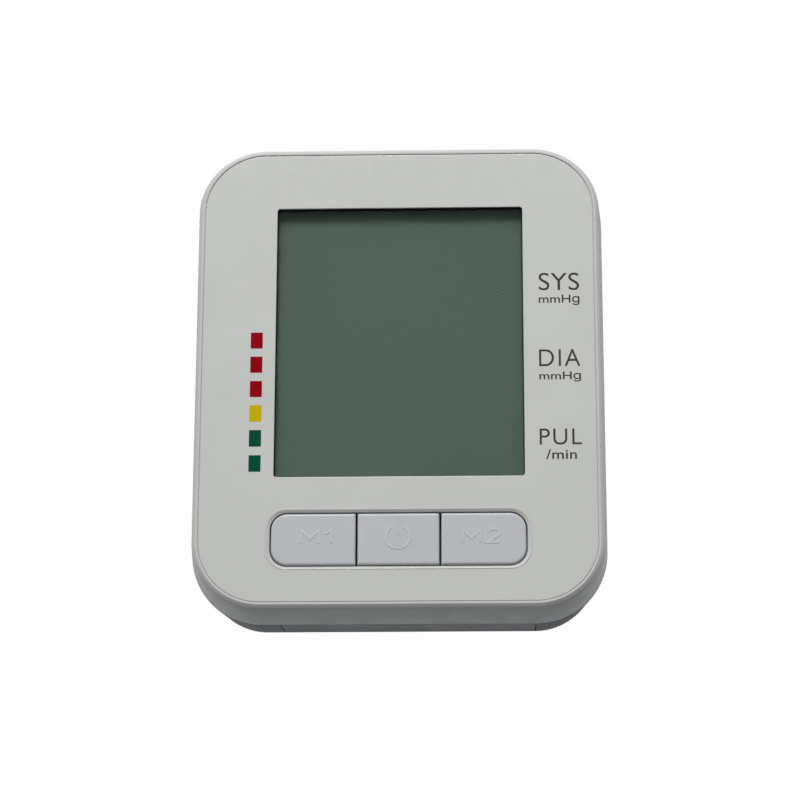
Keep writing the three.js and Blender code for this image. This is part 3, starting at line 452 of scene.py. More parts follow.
def buildMouldedGroup():
    # height = fine noise + 0.35 * middle noise; colour = slow noise between two tones; gloss = middle noise
    group, given, made = newGroup("mouldedSurface", {
        "Vector": (0, 0, 0), "Tone A": (0.5, 0.5, 0.5, 1), "Tone B": (0.4, 0.4, 0.4, 1),
        "Grain Scale": 3000.0, "Gloss Low": 0.35, "Gloss High": 0.5}, ("Color", "Roughness", "Height"))
    place = given["Vector"]
    slow, middle = noise(group, place, 34.0, 3.0, 0.5), noise(group, place, 210.0, 4.0, 0.6)
    fine = noise(group, place, given["Grain Scale"], 2.0, 0.6)
    fill(group, made, {
        "Color": mixed(group, ranged(group, slow, (0.35, 0.65), 0, 1), given["Tone A"], given["Tone B"]),
        "Roughness": ranged(group, middle, (0.3, 0.7), given["Gloss Low"], given["Gloss High"]),
        "Height": compute(group, "ADD", fine, compute(group, "MULTIPLY", middle, 0.35))})
    return group


def buildEdgeWearGroup():
    # mask = the piece's own edge attribute * noise * amount
    group, given, made = newGroup("edgeWear", {
        "Vector": (0, 0, 0), "Edge": 0.0, "Color": (0.5, 0.5, 0.5, 1), "Worn Color": (0.7, 0.7, 0.7, 1),
        "Amount": 0.5, "Roughness": 0.4, "Worn Roughness": 0.25}, ("Color", "Roughness"))
    mask = compute(group, "MULTIPLY", given["Edge"], noise(group, given["Vector"], 420.0, 4.0, 0.7))
    mask = compute(group, "MULTIPLY", mask, given["Amount"])
    fill(group, made, {
        "Color": mixed(group, mask, given["Color"], given["Worn Color"]),
        "Roughness": mixed(group, mask, given["Roughness"], given["Worn Roughness"], "FLOAT")})
    return group


def buildDrawnMetalGroup():
    # height = noise of vector * stretch, as drawing or turning marks; gloss follows it, colour is cloudy
    group, given, made = newGroup("drawnMetal", {
        "Vector": (0, 0, 0), "Stretch": (1, 1, 0.05), "Tone A": (0.7, 0.7, 0.7, 1),
        "Tone B": (0.6, 0.6, 0.6, 1), "Gloss Low": 0.2, "Gloss High": 0.4}, ("Color", "Roughness", "Height"))
    squeeze = addNode(group, "VectorMath", {0: given["Vector"], 1: given["Stretch"]}, operation="MULTIPLY")
    lines = noise(group, squeeze["Vector"], 2600.0, 3.0, 0.6)
    clouds = noise(group, given["Vector"], 160.0, 3.0, 0.5)
    fill(group, made, {
        "Color": mixed(group, clouds, given["Tone A"], given["Tone B"]),
        "Roughness": ranged(group, lines, (0.3, 0.7), given["Gloss Low"], given["Gloss High"]),
        "Height": lines})
    return group


mouldedGroup, edgeWearGroup, drawnMetalGroup = (
    build() for build in (buildMouldedGroup, buildEdgeWearGroup, buildDrawnMetalGroup))
grainDepth, lineDepth, stripeDepth = 0.00004, 0.00003, 0.00005    # metres


def newMaterial(name, constants):
    # a Principled material with its plain numbers set, and Object coordinates ready
    material = bpy.data.materials.new(name)
    material.use_nodes = True
    tree = material.node_tree
    shader = fill(tree, tree.nodes["Principled BSDF"], constants)
    return material, tree, shader, addNode(tree, "TexCoord")["Object"]


def finishShader(tree, shader, surface, color, height, strength, distance, **inputs):
    # colour as given, roughness from the surface effect, bump from the height, and whatever else is given
    bump = addNode(tree, "Bump", {"Strength": strength, "Distance": distance, "Height": height})["Normal"]
    fill(tree, shader, {"Base Color": color, "Roughness": surface["Roughness"], "Normal": bump, **inputs})


def shade(value, share=1.0):
    # an sRGB colour of 0 to 255 as the linear colour that the shader takes
    linear = [((part / 255 + 0.055) / 1.055) ** 2.4 if part > 10 else part / 255 / 12.92 for part in value]
    return (*(part * share for part in linear), 1)


def tones(finish, variation):
    # two tones of one colour, the second darker by the variation, and the range of the gloss
    low, high = finish["gloss"]
    darker = shade(finish["color"], finish.get("variation", variation))
    return {"Tone A": shade(finish["color"]), "Tone B": darker, "Gloss Low": low, "Gloss High": high}


def mouldedMaterial(name, finish):
    # moulded plastic or rubber: slow tone change, uneven gloss, fine grain and lightly worn edges
    material, tree, shader, place = newMaterial(name, finish.get("constants", {}))
    surface = addNode(tree, "Group", {
        **tones(finish, 0.96), "Vector": place,
        "Grain Scale": finish.get("grainScale", 3000.0)}, node_tree=mouldedGroup)
    wear = addNode(tree, "Group", {
        "Vector": place, "Edge": addNode(tree, "Attribute", attribute_name="edge")["Fac"],
        "Color": surface["Color"], "Worn Color": shade(finish.get("wornColor", finish["color"]), 1.12),
        "Amount": finish.get("wear", 0.35), "Roughness": surface["Roughness"],
        "Worn Roughness": finish["gloss"][0] * 0.8}, node_tree=edgeWearGroup)
    finishShader(tree, shader, wear, wear["Color"], surface["Height"], finish.get("grain", 0.12), grainDepth)
    return material


def metalMaterial(name, finish):
    # drawn or turned metal: stretched marks, patchy gloss
    material, tree, shader, place = newMaterial(name, {"Metallic": 1.0})
    surface = addNode(tree, "Group", {
        **tones(finish, 0.86), "Vector": place,
        "Stretch": finish.get("stretch", (1, 1, 0.05))}, node_tree=drawnMetalGroup)
    finishShader(tree, shader, surface, surface["Color"], surface["Height"], 0.1, lineDepth)
    return material


caseFinish = {"color": (190, 191, 189), "gloss": (0.4, 0.52), "grain": 0.16, "grainScale": 4200.0,
              "wear": 0.3, "constants": {"Specular IOR Level": 0.2}}
inkFinish = {"color": (62, 62, 60), "gloss": (0.3, 0.42), "grain": 0.2, "grainScale": 9000.0, "wear": 0.0,
             "constants": {"Specular IOR Level": 0.02}}
markGloss = (0.25, 0.35)
mouldedFinishes = {
    "casePlastic": caseFinish,
    # the case plastic darkened for the lower shell and door: painted shade, since that band lies in shadow below
    # the upper case
    "lowerPlasticPaintedShade": {
        **caseFinish, "color": (167, 168, 170), "gloss": (0.5, 0.62),
        "constants": {"Specular IOR Level": 0.03}},
    "panelGloss": {
        "color": (189, 191, 188), "gloss": (0.16, 0.24), "grain": 0.03, "grainScale": 2500.0, "wear": 0.2,
        "constants": {"Coat Weight": 0.35, "Coat Roughness": 0.06}},
    "keyPlastic": {
        "color": (178, 180, 184), "gloss": (0.34, 0.44), "grainScale": 4200.0, "wear": 0.45,
        "wornColor": (206, 207, 211)},
    "darkPlastic": {
        "color": (24, 25, 26), "gloss": (0.42, 0.6), "grain": 0.25, "wear": 0.4, "wornColor": (80, 80, 82)},
    "darkRubber": {
        "color": (38, 39, 40), "gloss": (0.7, 0.9), "grain": 0.35, "grainScale": 5200.0, "wear": 0.25,
        "wornColor": (90, 90, 90), "variation": 0.85},
    "whitePlastic": {"color": (214, 212, 202), "gloss": (0.35, 0.5), "grain": 0.15, "wear": 0.2},
    "displayGlass": {
        "color": (69, 82, 74), "gloss": (0.24, 0.28), "grain": 0.0, "grainScale": 6000.0, "wear": 0.0,
        "variation": 0.985, "constants": {"Specular IOR Level": 0.03}},
    "airTube": {
        "color": (206, 208, 204), "gloss": (0.3, 0.42), "grain": 0.05, "wear": 0.0, "constants": {
            "Subsurface Weight": 0.25, "Subsurface Scale": 0.001, "Subsurface Radius": (1.0, 1.0, 0.9)}},
    "leadJacket": {"color": (150, 26, 24), "gloss": (0.35, 0.5), "grain": 0.1, "wear": 0.1},
    "printInk": inkFinish,
    "blackInk": {**inkFinish, "color": (14, 15, 16)},
    "redInk": {**inkFinish, "color": (140, 2, 17), "gloss": markGloss},
    "yellowInk": {**inkFinish, "color": (192, 172, 10), "gloss": markGloss},
    "greenInk": {**inkFinish, "color": (2, 74, 51), "gloss": markGloss},
}
metalFinishes = {
    "nickel": {"color": (205, 203, 196), "gloss": (0.18, 0.32)},
    "steel": {"color": (176, 178, 180), "gloss": (0.26, 0.42), "stretch": (0.05, 1, 1)},
}
materials = {name: mouldedMaterial(name, finish) for name, finish in mouldedFinishes.items()}
materials |= {name: metalMaterial(name, finish) for name, finish in metalFinishes.items()}
slotOf = {
    "casePlastic": "case_plastic", "lowerPlasticPaintedShade": "case_plastic", "panelGloss": "panel_gloss",
    "keyPlastic": "key_plastic", "darkPlastic": "dark_plastic", "darkRubber": "dark_rubber",
    "whitePlastic": "white_plastic", "displayGlass": "display_glass", "airTube": "air_tube",
    "leadJacket": "lead_jacket", "blackInk": "dark_plastic", "nickel": "contact_metal",
    "clearWindow": "clear_window", "jacketFilm": "cell_jacket", "stripedRubber": "contact_rubber",
    "greenBoard": "board",
}


def addPiece(name, mesh, material, body="case", node="", slot="", sharp=32):
    # the mesh becomes a piece that rides on its body and may stand for a node
    mesh.name = name
    piece = newObject(name, mesh)
    mesh.materials.clear()
    mesh.materials.append(materials[material])
    mesh.shade_smooth()
    mesh.set_sharp_from_angle(angle=math.radians(sharp))
    markEdges(mesh)
    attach(piece, body)
    if node:
        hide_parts(node)
    slot = slot or slotOf.get(material)


def stand(node, mesh, material, body="case", **settings):
    # a finer piece in the place of a node
    addPiece(node + "_fine", mesh, material, body, node, **settings)


print("shared finishes made")


# Case values, read from the frame where a node shows them

doorLow, doorHigh = nodeBox("battery_door")
panelLow, panelHigh = nodeBox("face_panel")
boardLow, boardHigh = nodeBox("main_board")

caseShape = {
    "panelCorner": 16.6, "panelGap": 0.2,
    "panelDrop": 0.15,             # how far the panel lies below the rim
    "rimFlat": 0.6, "rimRound": 1.0,
    "rimSlopes": (38.0, 44.0),     # degrees, along the bevel outside the rim's level edge
    "rimLengths": (0.95, 0.6),     # share of the bevel and of the round below it
    "rimEdge": 0.08,
    "draft": 4.4,                  # degrees that the upper wall leans out, downwards
    "taper": 8.2,                  # degrees that the lower wall leans in
    "bottomRound": 4.0, "wall": 2.2, "faceWall": 2.0, "partingGap": 0.3,
    "edge": 0.16,                  # small round on moulded edges
    "partingEdge": 0.35,           # larger on both sides of the parting line
    "groove": 0.36,                # depth of the line round the panel
    "grooveBack": 0.03, "postPlace": (43.5, 53.5), "postDrop": 2.0,
    "post": (3.5, 1.5, 7.8),       # radius, hole's radius and hole's depth
    "boardPosts": ((-38.8, -40.0), (38.8, -40.0), (-30.0, 55.3), (30.0, 55.3)),
    "boardPost": (2.3, 1.2, 4.9),
}
panelHalf = (panelHigh - panelLow)[:2] / 2
faceZ, seatZ = panelHigh[2], panelLow[2]
panelTop = faceZ - caseShape["panelDrop"]
faceWallZ = seatZ - caseShape["faceWall"]
bottomZ = doorLow[2]
partingZ = doorHigh[2] + caseShape["partingGap"]
floorZ = bottomZ + caseShape["wall"]
boardUnder, boardTopZ = boardLow[2], boardHigh[2]
rimOffset = caseShape["panelGap"] + caseShape["rimFlat"]
draftSlope, taperSlope = (math.tan(math.radians(caseShape[key])) for key in ("draft", "taper"))
casePosts = [(x * caseShape["postPlace"][0], y * caseShape["postPlace"][1], 0) for x, y in signPairs]


def upperOffset(z):
    # how far the upper wall stands outside the panel's outline at a height
    return rimOffset + caseShape["rimRound"] + (faceZ - caseShape["rimRound"] - z) * draftSlope


def lowerOffset(z):
    # the same for the lower wall, which draws in towards the table
    return upperOffset(partingZ) - (partingZ - z) * taperSlope


def rimRows(v):
    # points walk out and down from the rim's level edge by (cos slope, -sin slope), scaled to meet the wall
    first, last = v["rimSlopes"]
    slopes = np.radians(np.concatenate([np.linspace(first, last, 5), np.linspace(last, 90 - v["draft"], 9)]))
    lengths = np.repeat([v["rimLengths"][0] / 4, 0, v["rimLengths"][1] / 8], [4, 1, 8])
    middle = (slopes[1:] + slopes[:-1]) / 2
    walk = np.cumsum(circlePoints(middle) * (1, -1) * lengths[:, None], axis=0)
    across, down = walk[-1][0], -walk[-1][1]
    walk *= v["rimRound"] * (1 - draftSlope) / (across - down * draftSlope)
    ledge = np.array([[-1, 0], [-0.1, -0.1], [0.6, -0.6]]) * v["rimEdge"]
    return np.vstack([ledge, np.delete(walk, 4, axis=0)])[::-1] + (rimOffset, faceZ)


def caseOutline(offset):
    # the panel's outline, grown by the offset
    return roundedOutline(panelHalf + offset, caseShape["panelCorner"] + offset)


windowShape = {
    "half": (33.6, 38.55), "centre": (0.27, 9.3), "corner": 0.8, "sink": 0.1, "flange": 0.9,
    "reach": 2.8, "slip": 0.3, "collar": 1.1, "edge": 0.12,
    "lead": 0.15,            # level strip beside an edge round
}
keyShape = {
    "half": (33.9, 7.1), "centre": (0.14, -46.5), "corner": 4.4, "innerCorner": 0.4, "gap": 0.35,
    "bevel": 1.0, "bevelDrop": 0.6, "bevelRows": ((0, 1), (0.12, 0.84), (0.9, 0.06), (1, 0)),
    "ridge": 0.15,           # how far the ridge round the keys stands above the panel
    "ridgeTop": 0.06, "ridgeWidth": 0.2,
    "flatter": 0.74,         # share of the bevel's width above and below the keys
    "round": 0.7, "level": 0.2, "split": 11.12, "splitGap": 0.5, "stem": 2.2, "stemHigh": 1.6,
    "flange": 1.0,
}


def windowOutline(grow, corner=None):
    # the window's outline, grown; its corners grow with it unless their radius is given
    radius = windowShape["corner"] + grow if corner is None else corner
    return roundedOutline(np.array(windowShape["half"]) + grow, radius, windowShape["centre"], 6)


def windowRing(grow):
    # the same with corners that keep their radius
    return windowOutline(grow, windowShape["corner"])


def keyOutline(grow):
    # the key row's outline, grown less above and below than at its ends
    flatter, gap = keyShape["flatter"], keyShape["gap"]
    half = np.array(keyShape["half"]) + gap + grow * np.array([1, flatter])
    return roundedOutline(half, keyShape["corner"] + gap + grow * flatter, keyShape["centre"], 12)


def upperShellMesh(v):
    # one closed profile goes round the case, two level faces carry the openings and the posts hang below
    edge, gap, back, grooveZ = v["edge"], v["panelGap"], v["grooveBack"], faceZ - v["groove"]
    inner = upperOffset(faceWallZ) - v["wall"]
    rows = np.vstack([
        [[inner, faceWallZ], [upperOffset(partingZ) - v["wall"], partingZ]],
        edgeRound(upperOffset(partingZ), partingZ, v["partingEdge"], up=-1)[::-1], rimRows(v),
        edgeRound(gap, faceZ, edge, side=-1)[::-1], [[gap, grooveZ], [back, grooveZ], [back, seatZ]],
    ])
    collar = windowShape["collar"]
    holes = [windowOutline(windowShape["slip"] * 2 + collar, windowShape["corner"] + collar), keyOutline(0)]
    parts = [sweepRows(rows, caseOutline), flat(seatZ, caseOutline(back), *holes)]
    parts += [tube([atHeight(hole, seatZ), atHeight(hole, faceWallZ)]) for hole in holes]
    posts = [(place[:2], *v["post"], partingZ - v["postDrop"]) for place in casePosts]
    posts += [(place, *v["boardPost"], boardTopZ) for place in v["boardPosts"]]
    feet = [circleOutline(radius, place) for place, radius, *_ in posts]
    for place, radius, hole, depth, low in posts:
        profile = [(faceWallZ, radius), (low + edge, radius), (low, radius - edge), (low, hole + edge),
                   (low + edge, hole), (low + depth, hole), (low + depth, 0)]
        parts.append(turned(profile, (*place, 0)))
    return meshOf(*parts, flat(faceWallZ, caseOutline(inner), *holes, *feet))


stand("upper_shell", upperShellMesh(caseShape), "casePlastic")
print("upper shell made")


# Front panel, window and display

def facePanelMesh(v):
    # the outer edge, the window rebate and the bevelled key opening, closed by the level faces between them
    edge, lead, shelf = v["edge"], v["lead"], seatZ + v["flange"] + v["sink"]
    inner = edge + lead
    rebate = windowOutline(v["reach"] + v["slip"], v["corner"] + v["slip"])
    outerRows = np.vstack([[[0, seatZ]], edgeRound(0, panelTop, edge / 2), [[-inner, panelTop]]])
    windowRows = np.vstack([[[0, shelf]], edgeRound(0, panelTop, edge, side=-1), [[inner, panelTop]]])
    bevel, drop, crest = keyShape["bevel"], keyShape["bevelDrop"], panelTop + keyShape["ridge"]
    outer = bevel + keyShape["ridgeWidth"]
    slope = [(bevel * across, crest - drop * down) for across, down in keyShape["bevelRows"]]
    recessRows = [(0, seatZ), *slope, (bevel + keyShape["ridgeTop"], crest), (outer, panelTop),
                  (outer + lead, panelTop)]
    return meshOf(
        sweepRows(outerRows, caseOutline), sweepRows(windowRows, windowOutline),
        sweepRows(recessRows, keyOutline),
        tube([atHeight(windowOutline(0), shelf), atHeight(rebate, shelf), atHeight(rebate, seatZ)]),
        flat(panelTop, caseOutline(-inner), windowOutline(inner), keyOutline(outer + lead)),
        flat(seatZ, caseOutline(0), rebate, keyOutline(0)))


def windowMesh(v):
    # a flange behind the panel and a raised middle with a softened edge
    middle, top, shelf = -v["sink"], panelTop - v["sink"], seatZ + v["flange"]
    return solid(np.vstack([
        [[v["reach"], seatZ], [v["reach"], shelf], [middle, shelf]], edgeRound(middle, top, v["edge"]),
        [[middle - v["edge"] - v["lead"], top]]]), windowRing)


def clearMaterial():
    # clear acrylic; shadow rays pass through it, so what lies behind is lit
    material, tree, shader, place = newMaterial("clearWindow", {
        "Base Color": (0.93, 0.96, 0.94, 1), "IOR": 1.12, "Transmission Weight": 1.0, "Metallic": 0.0,
        "Specular IOR Level": 0.5})
    surface = addNode(tree, "Group", {
        "Vector": place, "Grain Scale": 900.0, "Gloss Low": 0.0, "Gloss High": 0.03}, node_tree=mouldedGroup)
    fill(tree, shader, {"Roughness": surface["Roughness"]})
    clear = addNode(tree, "BsdfTransparent", {"Color": (0.9, 0.93, 0.91, 1)})[0]
    shown = mixShader(tree, addNode(tree, "LightPath")["Is Shadow Ray"], shader.outputs[0], clear)
    fill(tree, tree.nodes["Material Output"], {"Surface": shown})
    return material


borderShape = {"inner": -0.32, "outer": 2.6, "low": 0.06, "high": 0.02, "soft": 0.02}


def borderMesh(v):
    # a thin closed section, carried round the window under its back
    low, high, inner, outer, soft = seatZ - v["low"], seatZ - v["high"], v["inner"], v["outer"], v["soft"]
    return meshOf(sweepRows([
        (outer, low), (outer, high), (inner + soft, high), (inner, high - soft),
        (inner, low), (outer, low)], windowRing))


glassLow, glassHigh = nodeBox("display_glass")
displayShape = {"inset": 0.8, "film": 0.14, "edge": 0.2, "soft": 0.04, "corner": 0.8}


def displayMesh(v):
    # a glass slab with a thin film on its face, drawn in a little from the slab's edge
    centre, half = planOf(glassLow, glassHigh)
    top, inset, edge = glassHigh[2], v["inset"], v["edge"]
    slabTop = top - v["film"]
    rows = np.vstack([
        edgeRound(0, glassLow[2], edge, up=-1)[::-1], edgeRound(0, slabTop, edge), [[-inset, slabTop]],
        [[-inset, top - v["soft"]], [-inset - v["soft"], top], [-inset - edge, top]]])
    return solid(rows, lambda grow: roundedOutline(half + grow, v["corner"], centre, 6))


materials["clearWindow"] = clearMaterial()
stand("face_panel", facePanelMesh(windowShape), "panelGloss")
stand("display_window", windowMesh(windowShape), "clearWindow")
addPiece("display_window_border", borderMesh(borderShape), "blackInk")
stand("display_glass", displayMesh(displayShape), "displayGlass")
print("panel, window and display made")


# Keys and their legends

def keyMesh(span, corners, node, v):
    # stem, flange and cap with a rounded upper edge
    low, high = nodeBox(node)
    middle, reach = planOf(low, high)
    flangeLow, top, level = nodeBox("memory_1_key")[0][2] + v["stemHigh"], high[2], -v["round"] - v["level"]
    flangeTop, stem, soft = flangeLow + v["flange"], v["stem"], v["level"]
    place, half = (sum(span) / 2, v["centre"][1]), np.array([(span[1] - span[0]) / 2, v["half"][1]])
    outlineAt = lambda grow: roundedOutline(half + grow, np.maximum(np.array(corners) + grow, 0.1), place, 12)
    flange = roundedOutline(reach, v["innerCorner"], middle, 4)
    rows = np.vstack([[[0, flangeTop]], edgeRound(0, top, v["round"], steps=9), [[level, top]]])
    stemRows = [(flangeLow, stem), (low[2] + soft, stem), (low[2], stem - soft), (low[2], 0)]
    return meshOf(
        turned(stemRows, (*place, 0)), flat(flangeLow, flange, circleOutline(stem, place)),
        tube([atHeight(flange, flangeLow), atHeight(flange, flangeTop)]),
        flat(flangeTop, flange, outlineAt(0)), sweepRows(rows, outlineAt), flat(top, outlineAt(level)))


keyEdge, keyMiddle, keyTop = keyShape["half"][0], keyShape["centre"][0], nodeBox("start_stop_key")[1][2]
splitIn, splitOut = (keyShape["split"] + side * keyShape["splitGap"] / 2 for side in (-1, 1))
big, small = keyShape["corner"], keyShape["innerCorner"]
keyRows = {
    "memory_1": ((-keyEdge, -splitOut), (small, big, big, small)),
    "start_stop": ((-splitIn, splitIn), (small,) * 4),
    "memory_2": ((splitOut, keyEdge), (big, small, small, big)),
}
for key, (span, corners) in keyRows.items():
    cap = keyMesh([keyMiddle + edge for edge in span], corners, key + "_key", keyShape)
    stand(key + "_key", cap, "keyPlastic", key + "_button")


def strokeOutline(path, half):
    # each point moves out along the mitre of its two neighbouring stretches, on both sides
    along = np.diff(path, axis=0)
    along /= np.linalg.norm(along, axis=1, keepdims=True)
    across = np.column_stack([-along[:, 1], along[:, 0]])
    before, after = across[[0, *range(len(across))]], across[[*range(len(across)), -1]]
    mitre = (before + after) / (1 + (before * after).sum(1, keepdims=True))
    return np.concatenate([path - mitre * half, (path + mitre * half)[::-1]])


def arc(centre, radii, first, last, steps=24):
    # centre + radii * (cos a, sin a), with a from first to last in degrees
    turn = np.radians(np.linspace(first, last, steps + 1))
    return np.asarray(centre) + circlePoints(turn) * radii


letterShapes = {
    "M": np.array([(0, 0), (0, 1), (0.5, 0.32), (1, 1), (1, 0)]),
    "1": np.array([(0, 0.7), (1, 1), (1, 0)]),
    "2": np.concatenate([arc((0.5, 0.7), (0.5, 0.3), 165, -35), [(0, 0), (1, 0)]]),
}
legendShape = {
    "half": 0.33, "sink": 0.1, "rise": 0.1, "soft": 0.05, "base": -47.6, "height": 3.6,
    "letters": {    # with their left sides and widths
        "memory_1": (("M", -25.7, 4.7), ("1", -19.3, 1.7)), "memory_2": (("M", 17.2, 4.7), ("2", 23.9, 3.0))},
    "power": {"centre": (-0.05, -46.0), "radius": 3.2, "gap": 34.0, "bar": (0.7, 4.1)},
}


def legendPaths(v):
    # letters stretched to their width and height, and an open ring with a bar in its gap
    high, base = v["height"], v["base"]
    paths = {key: [letterShapes[letter] * (width, high) + (x, base) for letter, x, width in letters]
             for key, letters in v["letters"].items()}
    (x, y), radius, gap, bar = v["power"].values()
    ring = arc((x, y), (radius, radius), 90 + gap, 450 - gap, 48)
    return {**paths, "start_stop": [ring, np.array([(x, y + end) for end in bar])]}


def strokesMesh(paths, v):
    # every stroke is a closed ridge with a softened upper edge
    low, top, soft = keyTop - v["sink"], keyTop + v["rise"], v["soft"]
    return meshOf(*[part for path in paths for part in prism(
        [(0, low), (0, top - soft), (-soft, top)], lambda grow: strokeOutline(path, v["half"] + grow))])


for key, paths in legendPaths(legendShape).items():
    addPiece(key + "_legend", strokesMesh(paths, legendShape), "keyPlastic", key + "_button", sharp=50)
print("keys made")


# Print on the panel

printShape = {"low": panelTop - 0.02, "high": panelTop + 0.025, "x": (-40.05, -36.8), "corner": 0.12}
markRows = [
    ("red", 7.18, 11.77), ("red", 0.25, 4.88), ("red", -6.67, -2.09),
    ("yellow", -13.63, -8.94), ("green", -20.67, -16.01), ("green", -27.7, -23.09),
]
labels = [
    ("label_upper_reading", "SYS", (38.15, 23.3), (49.1, 28.35), 1.0, -0.004),
    ("label_upper_unit", "mmHɡ", (38.1, 18.95), (49.15, 22.0), 1.0, 0.009),
    ("label_lower_reading", "DIA", (38.0, 1.5), (49.1, 6.3), 1.14, -0.004),
    ("label_lower_unit", "mmHɡ", (38.0, -2.95), (49.2, -0.1), 1.0, 0.009),
    ("label_pulse", "PUL", (37.9, -20.7), (49.15, -16.2), 1.14, -0.004),
    ("label_pulse_unit", "/min", (39.55, -24.75), (47.75, -22.0), 1.04, 0.009),
]


def textMesh(words, low, high, spacing, weight):
    # the built-in letters, stretched to fill the given rectangle and the print's thickness
    curve = bpy.data.curves.new("words", "FONT")
    curve.body, curve.space_character, curve.offset, curve.extrude = words, spacing, weight, 0.05
    holder = newObject("words", curve)
    mesh = evaluatedMesh(holder)
    bpy.data.objects.remove(holder)
    points = readAll(mesh.vertices, "co", 3)
    share = (points - points.min(0)) / np.ptp(points, axis=0)
    low, high = np.array([*low, printShape["low"]]), np.array([*high, printShape["high"]])
    mesh.vertices.foreach_set("co", ((low + share * (high - low)) * mm).ravel())
    mesh.update()
    return mended(mesh, joinReach / 2)


for index, (tone, lowY, highY) in enumerate(markRows):
    corners = np.array([printShape["x"], (lowY, highY)])
    outline = roundedOutline((corners[:, 1] - corners[:, 0]) / 2, printShape["corner"], corners.sum(1) / 2, 3)
    mesh = solid([(0, printShape["low"]), (0, printShape["high"])], lambda grow: outline)
    addPiece(f"mark_{index + 1}_{tone}", mesh, tone + "Ink")
for name, *values in labels:
    addPiece(name, textMesh(*values), "printInk")
print("print made")


# Lower half of the case

cellBoxes = [nodeBox(f"battery_cell_{index + 1}") for index in range(4)]
cellCentres = [(low + high) / 2 for low, high in cellBoxes]
cellZ, bayX = cellCentres[0][2], float(np.mean([centre[0] for centre in cellCentres]))
bayHalf, bayRoofZ = cellBoxes[3][1][0] + 0.3 - bayX, cellBoxes[0][1][2] + 0.3
bayFrontY, bayBackY = nodeBox("contact_front_left")[0][1], nodeBox("contact_back_middle")[1][1]
socketLow, socketHigh = nodeBox("air_socket")
jackLow, jackHigh = nodeBox("power_socket")
nutLow, nutHigh = nodeBox("air_socket_nut")
pumpLow, pumpHigh = nodeBox("pump_motor")
airY, airZ = (socketLow + socketHigh)[1:] / 2
pumpPlace = (0, *(pumpLow + pumpHigh)[1:] / 2)
airPlace, jackPlace = (0, airY, airZ), (0, (jackLow + jackHigh)[1] / 2, airZ)
jackLength, nozzleLength = 13.0, 4.0
jackBack = jackLow[0] + jackLength
jointPlace = sum(nodeBox("air_joint")) / 2
farOut = 75.0        # beyond the case on every side

lowerShape = {
    "lip": 1.6, "lipEdge": 0.3, "ringWall": 1.2, "slip": 0.3, "bayWall": 1.2, "bayRoof": 1.4,
    "lipGap": 0.05,          # beside the door's lip, deeper in than slotDepth
    "slotDepth": 1.1,
    "slotLow": 3.0,          # above the underside, so the slot ends before the edge seen from above
    "wellRadius": 2.8, "wellTop": 9.5, "wellChamfer": 0.35, "footPlace": (42.0, 41.5),
    "footRadius": 5.15, "footTop": 2.5, "tabHalf": 1.8, "tabDeep": 0.7, "flangeWall": 1.0,
    "socketRadius": 4.9, "flangeRadius": 6.1, "jackRadius": 4.3, "jackDeep": 1.5, "restHalf": 3.0,
    "restEdge": 0.3, "bayEdge": 0.4, "cradleX": (24.0, -3.0), "cradleHalf": (1.0, 12.6),
    "cradleTop": 6.0, "cradleRadius": 10.9,
}
doorShape = {
    "wall": 2.0, "plateHalf": 32.6,
    "rail": (-1.2, 0, 1.3),      # inner side, stem's outer side and outer side from the plate's edge
    "railHeight": 1.0, "slip": 0.3, "gripY": -50.0, "gripPitch": 2.6, "gripCount": 5,
    "gripHalf": (11.0, 0.6), "gripDepth": 0.5, "gripEdge": 0.15, "arrowTip": (0, -31.0),
    "arrowSize": 3.6, "arrowRise": 0.28,
}
lipHalf = (doorHigh - doorLow)[0] / 2
lipBackY = bayFrontY - lowerShape["bayWall"] - lowerShape["slip"]
ringLowZ = partingZ - 2 * lowerShape["lip"]


def lowerProfile(inset, steps=12):
    # quarter round from the level floor into the wall that slopes outwards, all drawn in by the inset
    low, radius = bottomZ + inset, caseShape["bottomRound"] - inset
    turn = np.linspace(0, math.pi / 2, steps + 1)
    base = lowerOffset(low + radius) - inset
    return np.column_stack([base - radius * (1 - np.sin(turn)), low + radius * (1 - np.cos(turn))])


def lowerSolid(inset, top):
    # the room inside the lower case's skin, drawn in by the inset and cut off at the top
    return solid(np.vstack([lowerProfile(inset), [[lowerOffset(top) - inset, top]]]), caseOutline)


def bayBox(half, y, z):
    # a box centred on the middle of the battery bay
    return boxMesh((bayX - half, y[0], z[0]), (bayX + half, y[1], z[1]))


def lowerRests(v, low, top):
    # bay, socket pad, pump cradles and rests for socket and joint, all standing on the floor
    seat, half = socketLow[0] + v["flangeWall"], v["restHalf"]
    pad = shared(bar(nutHigh[2] - airZ + v["slip"], seat, nutLow[0], airPlace, "x"), lowerSolid(0.02, top))
    (_, pumpY, _), (thick, deep) = pumpPlace, v["cradleHalf"]
    high, wall = floorZ + v["cradleTop"], v["bayWall"]
    cradles = [carve(
        block((x - thick, pumpY - deep, low), (x + thick, pumpY + deep, high), v["restEdge"]),
        bar(v["cradleRadius"], x - thick - past, x + thick + past, pumpPlace, "x")) for x in v["cradleX"]]
    bay = block((bayX - bayHalf - wall, -panelHalf[1], low),
                (bayX + bayHalf + wall, bayBackY + wall, bayRoofZ + v["bayRoof"]), v["bayEdge"])
    jackRest = boxMesh((jackLow[0], jackLow[1], low), (jackBack, jackHigh[1], jackLow[2]))
    jointRest = boxMesh((*(jointPlace[:2] - half), low), (*(jointPlace[:2] + half), jointPlace[2] - half))
    return bay, jackRest, jointRest, pad, *cradles


